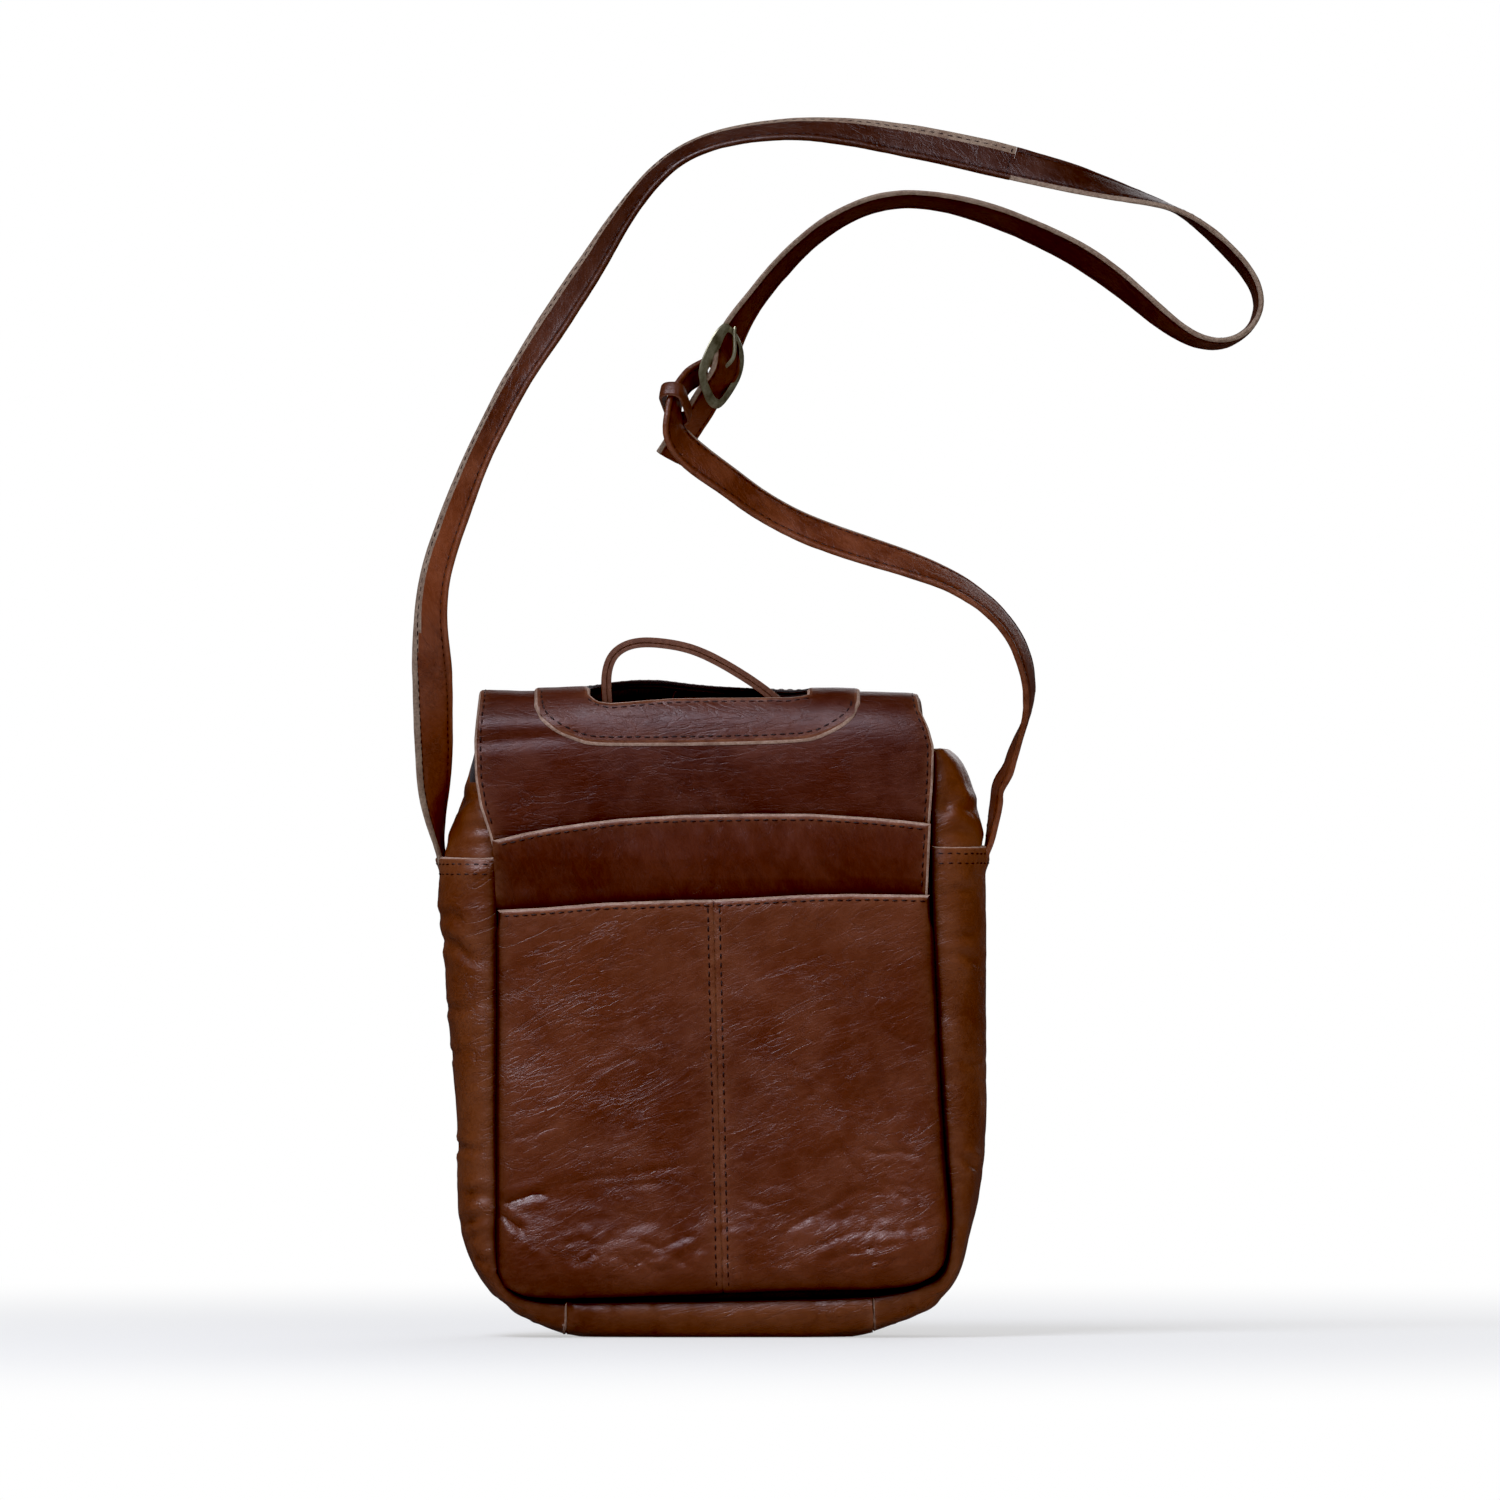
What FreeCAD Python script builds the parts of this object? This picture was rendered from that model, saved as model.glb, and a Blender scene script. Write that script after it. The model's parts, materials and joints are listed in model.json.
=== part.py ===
"""Leather flap crossbody purse, modelled as separate sewn pieces and metal fittings.

Frame: millimetres, +Z up, the purse stands on its bottom gusset. The origin is on the
resting plane below the middle of the bag. -Y is the back (slip pocket side), +Y is the
front under the flap, X runs from side to side. The shoulder strap is held as one laid-out
loop above and slightly behind the bag.
"""
import FreeCAD, Part
import os
import math
from FreeCAD import Vector as V

os.makedirs("parts", exist_ok=True)

# ---------------------------------------------------------------- driving dimensions
LEATHER = 1.6          # body leather
LINING = 0.5           # lining fabric
DEPTH = 50.0           # panel to panel
TOP_Z = 250.2          # mouth of the bag
BACK_Y = -DEPTH / 2
FRONT_Y = DEPTH / 2

# Gusset stations: widest point x, z, then the sewn panel edge x, z
GUSSET_LEFT_LOWER = [
    (-115.1, 203.7, -90.3, 203.7), (-115.9, 189.8, -90.3, 189.8), (-115.5, 177.2, -90.3, 177.2),
    (-113.4, 163.8, -90.3, 163.8), (-112.1, 143.6, -90.3, 143.6), (-110.5, 123.5, -90.3, 123.5),
    (-108.8, 103.3, -90.3, 103.3), (-108.1, 80.6, -90.1, 80.6), (-107.9, 56.3, -89.7, 58.0),
    (-105.8, 42.8, -90.1, 45.8), (-100.8, 30.2, -89.6, 35.3), (-94.1, 20.2, -87.8, 27.3),
    (-85.3, 12.6, -83.2, 21.4), (-74.8, 6.7, -75.2, 18.1), (-61.7, 2.1, -61.3, 16.8)]
GUSSET_BOTTOM = [
    (-61.7, 2.1, -61.3, 16.8), (-45.8, 0.2, -45.8, 16.8), (-25.6, -0.6, -25.6, 17.0),
    (-5.5, -0.8, -5.5, 17.2), (16.4, -0.8, 16.4, 17.6), (36.5, -0.6, 36.5, 18.1),
    (52.5, 0.6, 52.5, 18.5), (67.2, 3.4, 66.8, 19.3)]
GUSSET_RIGHT_LOWER = [
    (114.7, 208.3, 91.6, 208.3), (114.7, 185.6, 91.6, 185.6), (114.9, 164.6, 92.4, 164.6),
    (115.1, 143.6, 93.5, 143.6), (115.1, 122.6, 94.5, 122.6), (115.1, 103.3, 95.8, 103.3),
    (114.2, 78.5, 97.4, 78.5), (110.9, 56.3, 98.9, 57.1), (107.5, 42.8, 98.7, 45.4),
    (104.2, 30.2, 97.9, 36.1), (99.5, 21.8, 95.8, 29.4), (91.1, 13.9, 89.5, 24.8),
    (80.6, 8.4, 80.2, 21.8), (67.2, 3.4, 66.8, 19.3)]
GUSSET_LEFT_UPPER = [
    (-114.7, 204.3, -90.3, 204.3), (-113.2, 209.2, -90.3, 209.2), (-110.9, 214.6, -90.3, 214.6),
    (-108.4, 220.1, -90.3, 220.5), (-106.3, 226.8, -90.3, 227.2), (-104.2, 233.5, -90.3, 233.5),
    (-102.5, 241.9, -90.7, 241.5), (-100.8, 249.9, -91.1, 249.5)]
GUSSET_RIGHT_UPPER = [
    (114.6, 208.7, 91.6, 208.7), (112.6, 219.2, 91.6, 219.2), (110.0, 230.6, 91.6, 229.7),
    (107.1, 239.4, 91.6, 238.6), (102.9, 246.1, 91.6, 244.9), (98.3, 249.5, 91.1, 249.1)]

# Shoulder strap stations: x, y, z of the centre line and the twist of the width in degrees
STRAP_LONG = [
    (-120.00, -0.58, 208.32, -78.3), (-122.32, -2.19, 216.56, -60.4), (-124.39, -5.42, 224.88, -39.4),
    (-125.05, -10.18, 233.27, -29.2), (-120.65, -16.13, 241.67, -25.7), (-117.34, -22.89, 250.06, -22.1),
    (-117.50, -30.08, 258.46, -17.5), (-117.52, -37.31, 266.86, -10.9), (-117.59, -44.22, 275.27, -0.7),
    (-117.76, -50.40, 283.67, 12.5), (-118.04, -55.50, 292.06, 24.5), (-118.19, -59.12, 300.46, 32.8),
    (-117.93, -61.11, 308.86, 37.9), (-116.97, -61.82, 317.19, 40.9), (-115.27, -61.94, 325.41, 42.8),
    (-112.95, -61.94, 333.48, 44.3), (-110.19, -61.94, 341.42, 45.8), (-107.27, -61.93, 349.30, 47.5),
    (-104.32, -61.93, 357.16, 49.2), (-101.21, -61.93, 364.97, 50.7), (-97.88, -61.92, 372.68, 51.7),
    (-94.28, -61.92, 380.27, 52.3), (-90.50, -61.92, 387.78, 52.2), (-86.63, -61.91, 395.23, 51.5),
    (-82.53, -61.91, 402.57, 50.2), (-78.18, -61.90, 409.75, 48.5), (-73.68, -61.90, 416.85, 46.6),
    (-69.10, -61.90, 423.90, 45.1), (-64.49, -61.89, 430.92, 44.3), (-59.88, -61.89, 437.94, 44.6),
    (-55.24, -61.89, 444.95, 46.3), (-50.64, -61.88, 451.98, 49.1), (-46.17, -61.88, 459.09, 52.8),
    (-41.75, -61.87, 466.24, 56.7), (-37.07, -61.87, 473.21, 60.2), (-32.05, -61.87, 479.95, 63.1),
    (-26.67, -61.86, 486.40, 65.0), (-20.73, -61.86, 492.31, 66.1), (-13.99, -61.85, 497.27, 66.5),
    (-6.53, -61.85, 501.11, 66.2), (1.36, -61.85, 503.92, 65.6), (9.53, -61.84, 505.87, 64.7),
    (17.81, -61.84, 507.26, 63.5), (26.16, -61.84, 508.20, 61.7), (34.54, -61.83, 508.63, 59.2),
    (42.94, -61.83, 508.50, 55.8), (51.32, -61.82, 507.92, 51.6), (59.68, -61.82, 507.05, 47.2),
    (67.99, -61.82, 505.87, 42.9), (76.28, -61.81, 504.49, 39.1), (84.56, -61.81, 503.07, 35.9),
    (92.81, -61.81, 501.49, 33.4), (101.04, -61.80, 499.77, 31.6), (109.24, -61.80, 497.96, 30.7),
    (117.43, -61.79, 496.08, 30.9), (125.61, -61.79, 494.13, 32.7), (133.75, -61.79, 492.04, 36.1),
    (141.88, -61.78, 489.95, 40.9), (149.98, -61.78, 487.71, 46.8), (158.08, -61.77, 485.47, 53.6),
    (166.16, -61.77, 483.17, 61.3), (174.25, -61.77, 480.92, 69.7), (182.34, -61.76, 478.66, 78.2),
    (190.30, -61.76, 475.96, 86.2), (197.89, -61.76, 472.43, 93.2), (204.79, -61.75, 467.69, 98.6),
    (211.14, -61.75, 462.19, 102.3), (217.13, -61.74, 456.30, 104.0), (222.59, -61.74, 449.95, 103.6),
    (226.84, -61.74, 442.75, 101.3), (228.35, -61.73, 434.74, 97.3), (225.87, -61.73, 427.01, 92.1),
    (220.04, -61.73, 421.29, 86.2), (212.25, -61.72, 418.86, 80.2), (204.04, -61.72, 419.73, 74.7),
    (196.45, -61.72, 423.13, 69.9), (189.59, -61.71, 427.95, 65.9), (183.07, -61.71, 433.25, 62.6),
    (176.67, -61.70, 438.69, 60.1), (170.19, -61.70, 444.04, 58.1), (163.47, -61.70, 449.08, 56.8),
    (156.51, -61.69, 453.78, 56.2), (149.28, -61.69, 458.05, 56.3), (141.80, -61.68, 461.88, 57.0),
    (134.19, -61.68, 465.45, 58.1), (126.50, -61.68, 468.82, 59.7), (118.67, -61.67, 471.87, 61.7),
    (110.70, -61.67, 474.51, 63.9), (102.58, -61.67, 476.66, 66.1), (94.33, -61.66, 478.21, 67.9),
    (85.99, -61.66, 479.11, 69.0), (77.60, -61.65, 479.12, 69.3), (69.34, -61.65, 477.81, 69.2),
    (61.39, -61.65, 475.18, 68.6), (53.78, -61.64, 471.64, 67.9), (46.62, -61.64, 467.28, 67.0),
    (40.04, -61.63, 462.08, 66.1), (33.90, -61.63, 456.34, 65.2), (28.12, -61.63, 450.25, 64.3),
    (22.64, -61.62, 443.88, 63.6), (17.46, -61.62, 437.28, 62.7), (12.63, -61.62, 430.40, 57.9),
    (8.50, -61.61, 423.11, 51.6), (5.21, -61.58, 415.39, 50.0), (2.18, -61.31, 407.55, 50.0),
    (-1.03, -59.61, 399.79, 50.0), (-4.81, -54.80, 392.30, 50.2), (-9.35, -47.33, 385.24, 51.0),
    (-14.11, -40.01, 378.39, 50.7), (-18.69, -35.22, 371.28, 49.0)]
STRAP_SHORT = [
    (-2.73, -59.63, 407.40, 56.4), (-8.53, -61.74, 404.54, 61.5), (-12.97, -65.83, 399.77, 68.9),
    (-15.48, -70.71, 393.83, 71.3), (-15.98, -74.61, 387.31, 64.7), (-15.42, -75.85, 380.87, 53.9),
    (-12.04, -75.06, 375.40, 44.7), (-7.16, -73.81, 370.83, 40.6), (-2.00, -72.73, 366.85, 41.3),
    (3.27, -71.46, 363.12, 43.7), (8.53, -69.65, 359.36, 44.8), (13.76, -67.52, 355.48, 44.8),
    (19.13, -65.46, 351.80, 45.2), (24.69, -63.31, 348.42, 45.4), (30.40, -62.12, 345.32, 45.6),
    (36.26, -62.00, 342.49, 45.7), (42.24, -62.00, 339.92, 45.5), (48.32, -62.00, 337.60, 45.4),
    (54.45, -62.00, 335.43, 45.6), (60.63, -62.00, 333.40, 46.3), (66.82, -62.00, 331.39, 47.6),
    (73.02, -62.00, 329.41, 49.2), (79.20, -62.00, 327.40, 51.3), (85.33, -62.00, 325.20, 53.9),
    (91.43, -62.00, 322.95, 56.7), (97.41, -62.00, 320.38, 59.4), (103.17, -62.00, 317.37, 61.9),
    (108.68, -62.01, 313.91, 64.1), (113.91, -61.90, 310.04, 65.7), (118.70, -61.29, 305.63, 66.7),
    (122.94, -59.95, 300.71, 67.3), (126.52, -57.72, 295.28, 67.8), (129.35, -54.57, 289.42, 68.9),
    (131.37, -50.55, 283.24, 71.2), (132.52, -45.76, 276.84, 74.8), (132.73, -40.45, 270.35, 79.1),
    (131.90, -34.88, 263.90, 84.5), (130.16, -29.36, 257.63, 91.5), (127.92, -24.00, 251.52, 98.0),
    (125.67, -18.85, 245.42, 102.1), (123.27, -14.08, 239.37, 104.3), (120.67, -9.83, 233.41, 105.1),
    (120.34, -6.20, 227.45, 104.1), (120.08, -3.30, 221.56, 102.3), (119.56, -1.16, 215.19, 98.7),
    (118.74, -0.15, 208.74, 92.9)]


# ---------------------------------------------------------------- helpers
def save(name, *shapes):
    """Write the solids of one piece to its STEP file, all turned to positive volume."""
    solids = [solid for shape in shapes for solid in shape.Solids]
    for solid in solids:
        if solid.Volume < 0:
            solid.reverse()
    piece = solids[0] if len(solids) == 1 else Part.makeCompound(solids)
    piece.exportStep("parts/%s.step" % name)


def slab(outer, inner):
    """Closed solid between two point grids of the same size."""
    def surface(grid):
        result = Part.BSplineSurface()
        result.interpolate(grid)
        return result

    def borders(face):
        u0, u1, v0, v1 = face.bounds()
        return [c.toShape() for c in (face.uIso(u0), face.uIso(u1), face.vIso(v0), face.vIso(v1))]

    first, second = surface(outer), surface(inner)
    faces = [first.toShape(), second.toShape()]
    faces += [Part.makeRuledSurface(p, q) for p, q in zip(borders(first), borders(second))]
    shell = Part.makeShell(faces)
    shell.sewShape()
    return outward(Part.makeSolid(shell))


def outward(solid):
    if solid.Volume < 0:
        solid.reverse()
    return solid


def offset_grid(grid, distance, toward):
    """Grid moved along its own normals, on the side of the point toward."""
    rows, columns = len(grid), len(grid[0])
    moved = []
    for i in range(rows):
        row = []
        for j in range(columns):
            along = grid[min(i + 1, rows - 1)][j] - grid[max(i - 1, 0)][j]
            across = grid[i][min(j + 1, columns - 1)] - grid[i][max(j - 1, 0)]
            normal = along.cross(across)
            normal.normalize()
            if normal.dot(toward - grid[i][j]) < 0:
                normal = normal * -1
            row.append(grid[i][j] + normal * distance)
        moved.append(row)
    return moved


def extrude(points, direction):
    return Part.Face(Part.makePolygon(points + [points[0]])).extrude(direction)


def prism_xz(points, y0, y1):
    """Closed outline in X-Z extruded from y0 to y1."""
    return extrude([V(x, y0, z) for x, z in points], V(0, y1 - y0, 0))


def box(x0, x1, y0, y1, z0, z1):
    return Part.makeBox(x1 - x0, y1 - y0, z1 - z0, V(x0, y0, z0))


def y_cylinder(x, y, z, radius, length):
    return Part.makeCylinder(radius, length, V(x, y, z), V(0, 1, 0))


def spline_points(points, count):
    """Evenly spaced points on the smooth curve through the given ones."""
    curve = Part.BSplineCurve()
    curve.interpolate(points)
    return curve.toShape().discretize(count)


def axes_matrix(origin, x_axis, y_axis, z_axis):
    """Matrix that carries the global axes to the given ones."""
    columns = (x_axis, y_axis, z_axis, origin)
    rows = [[c[k] for c in columns] for k in range(3)]
    return FreeCAD.Matrix(*rows[0], *rows[1], *rows[2], 0, 0, 0, 1)


def lerp(a, b, t):
    return a + (b - a) * t


def interp(t, table):
    """Value at t in a table of (t, value), held constant past its ends."""
    if t <= table[0][0]:
        return table[0][1]
    for (a, value_a), (b, value_b) in zip(table, table[1:]):
        if t <= b:
            return value_a + (value_b - value_a) * (t - a) / (b - a)
    return table[-1][1]


# ---------------------------------------------------------------- gussets
GUSSET_HALF = DEPTH / 2 - 0.45     # half width of the lower and bottom gussets
MOUTH_HALF = 20.0                  # half width of the upper gussets at the mouth
LOWER_GAP = 0.3                    # seam gap at each end of the lower and bottom gussets
UPPER_GAP = 0.2


def gusset_grid(stations, half_start, half_end, power=2.5, samples=9):
    """Superellipse sections from panel edge to panel edge, one for each station."""
    grid = []
    for i, (wide_x, wide_z, edge_x, edge_z) in enumerate(stations):
        half = lerp(half_start, half_end, i / (len(stations) - 1))
        row = []
        for j in range(samples):
            angle = math.radians(-90 + 180 * j / (samples - 1))
            y = half * math.copysign(abs(math.sin(angle)) ** (2 / power), math.sin(angle))
            bulge = max(math.cos(angle), 0) ** (2 / power)
            row.append(V(lerp(edge_x, wide_x, bulge), y, lerp(edge_z, wide_z, bulge)))
        grid.append(row)
    return grid


def pulled_in(end, neighbour, gap):
    """End station moved towards its neighbour by a seam gap."""
    length = math.hypot(neighbour[0] - end[0], neighbour[1] - end[1])
    return tuple(a + (b - a) * gap / length for a, b in zip(end, neighbour))


def gusset(stations, toward, half_end=GUSSET_HALF, gap_start=LOWER_GAP, gap_end=LOWER_GAP):
    """Leather gusset whose thickness goes inwards, to the side of the point toward."""
    first = pulled_in(stations[0], stations[1], gap_start)
    last = pulled_in(stations[-1], stations[-2], gap_end)
    outer = gusset_grid([first] + stations[1:-1] + [last], GUSSET_HALF, half_end)
    return slab(outer, offset_grid(outer, LEATHER, toward))


def space_below(z):
    return box(-300, 300, -100, 100, -20, z)


save("gusset_left_lower", gusset(GUSSET_LEFT_LOWER, V(20, 0, 150)).cut(space_below(0.2)))
save("gusset_right_lower", gusset(GUSSET_RIGHT_LOWER, V(-20, 0, 150)).cut(space_below(0.2)))
save("gusset_bottom", gusset(GUSSET_BOTTOM, V(0, 0, 400)).cut(space_below(0.0)))
save("gusset_left_upper", gusset(GUSSET_LEFT_UPPER, V(20, 0, 230), MOUTH_HALF, UPPER_GAP, 0))
save("gusset_right_upper", gusset(GUSSET_RIGHT_UPPER, V(-20, 0, 230), MOUTH_HALF, UPPER_GAP, 0))

# ---------------------------------------------------------------- flat body panels and lining
PANEL_IN = 0.2                     # panel thickness inside the DEPTH planes
PANEL_OUT = LEATHER - PANEL_IN
LINING_GAP = 0.35                  # DEPTH plane to lining
PANEL_LINING_INSET = 4.0
GUSSET_LINING_INSET = 3.0
GUSSET_LINING_HALF = DEPTH / 2 - 2.2
GUSSET_LINING_BULGE = 0.72         # part of the leather gusset's bulge
MIN_EDGE = 0.8                     # closer outline points are merged


def panel_outline():
    """Sewn edge of the gussets, down the left side, along the bottom and up the right."""
    stations = (GUSSET_LEFT_UPPER[::-1] + GUSSET_LEFT_LOWER + GUSSET_BOTTOM[1:-1]
                + GUSSET_RIGHT_LOWER[::-1] + GUSSET_RIGHT_UPPER)
    points = []
    for _, _, x, z in stations:
        if not points or math.hypot(x - points[-1][0], z - points[-1][1]) > MIN_EDGE:
            points.append((x, z))
    points[0] = (points[0][0], TOP_Z)
    points[-1] = (points[-1][0], TOP_Z)
    return points


def inset(x, z, distance):
    """Point scaled towards the middle of the panel, by distance at the panel's edge."""
    middle_x, middle_z = 0.5, 134.0
    half_width, half_height = 91.0, 116.0
    return (middle_x + (x - middle_x) * (1 - distance / half_width),
            middle_z + (z - middle_z) * (1 - distance / half_height))


def gusset_lining():
    """Lining of the side and bottom gussets, one long strip."""
    strip = []
    for wide_x, wide_z, edge_x, edge_z in (GUSSET_LEFT_LOWER[:-1] + GUSSET_BOTTOM
                                           + GUSSET_RIGHT_LOWER[-2::-1]):
        x, z = inset(edge_x, edge_z, GUSSET_LINING_INSET)
        strip.append((x + (wide_x - edge_x) * GUSSET_LINING_BULGE,
                      z + (wide_z - edge_z) * GUSSET_LINING_BULGE, x, z))
    outer = gusset_grid(strip, GUSSET_LINING_HALF, GUSSET_LINING_HALF, power=2.3, samples=7)
    return slab(outer, offset_grid(outer, LINING, V(0, 0, 180)))


outline = panel_outline()
lining_outline = [inset(x, z, PANEL_LINING_INSET) for x, z in outline]
back_lining_y = BACK_Y + LINING_GAP
front_lining_y = FRONT_Y - LINING_GAP
save("back_panel", prism_xz(outline, BACK_Y - PANEL_OUT, BACK_Y + PANEL_IN))
save("front_panel", prism_xz(outline, FRONT_Y - PANEL_IN, FRONT_Y + PANEL_OUT))
save("lining_back", prism_xz(lining_outline, back_lining_y, back_lining_y + LINING))
save("lining_front", prism_xz(lining_outline, front_lining_y - LINING, front_lining_y))
save("lining_gusset", gusset_lining())

# ---------------------------------------------------------------- back band and slip pockets
BAND_Y = BACK_Y - 4.0              # inner face of the band
FRONT_POCKET_Y = FRONT_Y + 1.6     # inner face of the front pocket
POCKET_TOP_Z = 183.2
POCKET_BOTTOM_Z = 19.4
POCKET_LAST_ROW_Z = 27.0           # row just above the bottom edge
POCKET_PUFF = 5.2                  # puff of the body away from the panel
POCKET_MOUTH_PUFF = 1.2            # extra puff at the top
POCKET_CLEARANCE = 0.15
SEAM_GAP = 0.7                     # centre seam line to each half

# Outlines x, z
BACK_BAND = [
    (-91.5, 184.0), (-92.8, 210.8), (-79, 213.8), (-65.9, 216.3), (-52, 218.2), (-39.5, 219.7),
    (-12.6, 221.3), (14.3, 221.8), (41.2, 221.8), (67.8, 220.1), (80, 219.0), (91.3, 217.6),
    (90.2, 184.4)]
FRONT_POCKET = [
    (-88, 146), (-88.5, 40), (-87, 26), (-80, 19.5), (0, 18.6), (84, 20.5), (93, 30), (92, 60),
    (88.5, 146)]
# Outer side edges of the back pocket: z, x
POCKET_LEFT = [(19.4, -77.0), (21.0, -83.0), (24.5, -87.0), (31, -89.4), (60, -90.0)]
POCKET_RIGHT = [
    (22, 80.0), (26, 92.0), (30, 96.5), (36, 97.6), (52, 98.6), (70, 97.0), (102, 95.0),
    (143, 92.6), (184, 90.6)]


def back_pocket(side, edge):
    """Half of the back pocket, side edge to centre seam; side is -1 left, 1 right."""
    height = POCKET_TOP_Z - POCKET_BOTTOM_Z
    rows = [POCKET_TOP_Z - height * k / 11.0 for k in range(10)]
    grid = []
    for z in rows + [POCKET_LAST_ROW_Z, POCKET_BOTTOM_Z]:
        seam_x = lerp(3.9, 0.3, (z - 22.0) / 161.0) + side * SEAM_GAP
        rise = (z - POCKET_BOTTOM_Z) / height
        body = POCKET_PUFF * min(1.0, (rise * 6.0) ** 0.7) * (1 - 0.45 * rise)
        row = []
        for j in range(9):
            t = j / 8.0
            across = math.sin(math.pi * t) ** 0.6 if 0 < t < 1 else 0.0
            mouth = POCKET_MOUTH_PUFF * rise ** 3 * (0.25 + 0.75 * across)
            y = BACK_Y - PANEL_OUT - (POCKET_CLEARANCE + across * body + mouth)
            row.append(V(lerp(interp(z, edge), seam_x, t), y, z))
        grid.append(row)
    return slab(offset_grid(grid, LEATHER, V(0, -900, 100)), grid)


save("back_band", prism_xz(BACK_BAND, BAND_Y - LEATHER, BAND_Y))
save("back_pocket_left", back_pocket(-1, POCKET_LEFT))
save("back_pocket_right", back_pocket(1, POCKET_RIGHT))
save("front_pocket", prism_xz(FRONT_POCKET, FRONT_POCKET_Y, FRONT_POCKET_Y + LEATHER))

# ---------------------------------------------------------------- flap and its slot
# Side profile of the flap's mid-thickness: y, z, from the back over the top to the front
PROFILE = [
    (-27.2, 205.0), (-27.4, 214.0), (-27.8, 224.0), (-28.3, 236.0), (-28.4, 247.0),
    (-27.6, 256.0), (-25.0, 263.6), (-21.4, 268.3), (-16.5, 271.9), (-9.5, 274.2), (0.0, 274.9),
    (9.0, 274.3), (18.0, 272.3), (25.5, 268.6), (31.6, 262.6), (35.0, 254.0), (36.6, 242.0),
    (37.2, 225.0), (37.4, 200.0), (37.4, 150.0), (37.2, 106.5)]
# Side edges of the flap: arc length along the profile, x
FLAP_LEFT = [
    (0, -92.0), (8, -94.0), (20, -98.0), (32, -100.0), (48, -100.4), (62, -99.2), (70, -98.7),
    (100, -98.0), (140, -98.0), (240, -98.6), (266, -97.0), (290, -92.0)]
FLAP_RIGHT = [
    (0, 90.2), (12, 91.1), (30, 92.4), (45, 92.8), (53, 90.7), (62, 87.2), (70, 86.4),
    (100, 87.0), (140, 90.0), (240, 91.0), (266, 90.0), (290, 86.0)]
FOLD_Y, FOLD_Z = -19.2, 270.0      # rear fold line
FRONT_FOLD_Y = 31.6
FOLD_GAP = 2.5                     # fold line to the leather on each side
FLAP_LINING_INSET = 3.0
FLAP_LINING_GAP = 0.1
SLOT_X0, SLOT_X1 = -51.7, 39.5
SLOT_FRONT_Y = -2.0
SLOT_LINING_MARGIN = 1.5           # the lining is cut back from the slot
PATCH_T = 1.3
PATCH_GAP = 0.15
PROFILE_COUNT = 1200

profile = spline_points([V(0, y, z) for y, z in PROFILE], PROFILE_COUNT)
arcs = [0.0]
for start, end in zip(profile, profile[1:]):
    arcs.append(arcs[-1] + (end - start).Length)


def arc_nearest(distance):
    """Arc length of the profile point where the distance function is smallest."""
    return arcs[min(range(PROFILE_COUNT), key=lambda i: distance(profile[i]))]


def profile_at(arc):
    """Point and outward normal of the profile."""
    low = sum(a <= arc for a in arcs[:-1]) - 1
    t = (arc - arcs[low]) / (arcs[low + 1] - arcs[low])
    tangent = profile[min(low + 4, PROFILE_COUNT - 1)] - profile[max(low - 3, 0)]
    tangent.normalize()
    return lerp(profile[low], profile[low + 1], t), V(0, -tangent.z, tangent.y)


def sheet(arc0, arc1, rows, left, right, offset, thickness):
    """Curved sheet along the profile; offset is from the profile out to its inner face."""
    inner, outer = [], []
    for i in range(rows):
        arc = lerp(arc0, arc1, i / (rows - 1))
        point, normal = profile_at(arc)
        x0, x1 = interp(arc, left), interp(arc, right)
        for grid, out in ((inner, offset), (outer, offset + thickness)):
            base = point + normal * out
            grid.append([V(lerp(x0, x1, j / 6), base.y, base.z) for j in range(7)])
    return slab(outer, inner)


def flap_sheet(arc0, arc1, rows):
    return sheet(arc0, arc1, rows, FLAP_LEFT, FLAP_RIGHT, -LEATHER / 2, LEATHER)


def flap_lining(arc0, arc1, rows):
    left = [(arc, x + FLAP_LINING_INSET) for arc, x in FLAP_LEFT]
    right = [(arc, x - FLAP_LINING_INSET) for arc, x in FLAP_RIGHT]
    offset = -LEATHER / 2 - FLAP_LINING_GAP - LINING
    return sheet(arc0, arc1, rows, left, right, offset, LINING)


def slot_cutter(margin=0.0):
    return box(SLOT_X0 - margin, SLOT_X1 + margin, -60, SLOT_FRONT_Y + margin, 240, 290)


rear_fold = arc_nearest(lambda p: abs(p.y - FOLD_Y) + abs(p.z - FOLD_Z))
front_fold = arc_nearest(lambda p: abs(p.y - FRONT_FOLD_Y) + (100 if p.z < 255 else 0))
top_start, top_end = rear_fold + FOLD_GAP, front_fold - FOLD_GAP
front_start, front_end = front_fold + FOLD_GAP, arcs[-1]

save("flap_rear", flap_sheet(0.0, rear_fold - FOLD_GAP, 12))
save("flap_top", flap_sheet(top_start, top_end, 12).cut(slot_cutter()))
save("flap_front", flap_sheet(front_start, front_end, 16))
save("flap_lining_top",
     flap_lining(top_start + 1, top_end - 1, 12).cut(slot_cutter(SLOT_LINING_MARGIN)))
save("flap_lining_front", flap_lining(front_start + 1, front_end - 3, 16))

# Patch round the slot, on the outside of the flap, in two parts split at the rear fold
patch_start = arc_nearest(lambda p: abs(p.z - 250.6) + (100 if p.y > 0 else 0))
patch_end = arc_nearest(lambda p: abs(p.y - 16.5) + (100 if p.z < 255 else 0))
patch_arcs = [patch_start, patch_start + 4, patch_start + 8, patch_start + 16, rear_fold,
              rear_fold + 18, patch_end - 8, patch_end - 4, patch_end]
patch_left = list(zip(patch_arcs, (-51.0, -58.0, -65.0, -73.0, -75.0, -75.0, -66.0, -59.0, -51.0)))
patch_right = list(zip(patch_arcs, (40.0, 47.0, 54.0, 61.0, 62.0, 62.0, 54.0, 48.0, 40.0)))


def slot_patch(arc0, arc1, rows):
    return sheet(arc0, arc1, rows, patch_left, patch_right, LEATHER / 2 + PATCH_GAP, PATCH_T)


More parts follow.
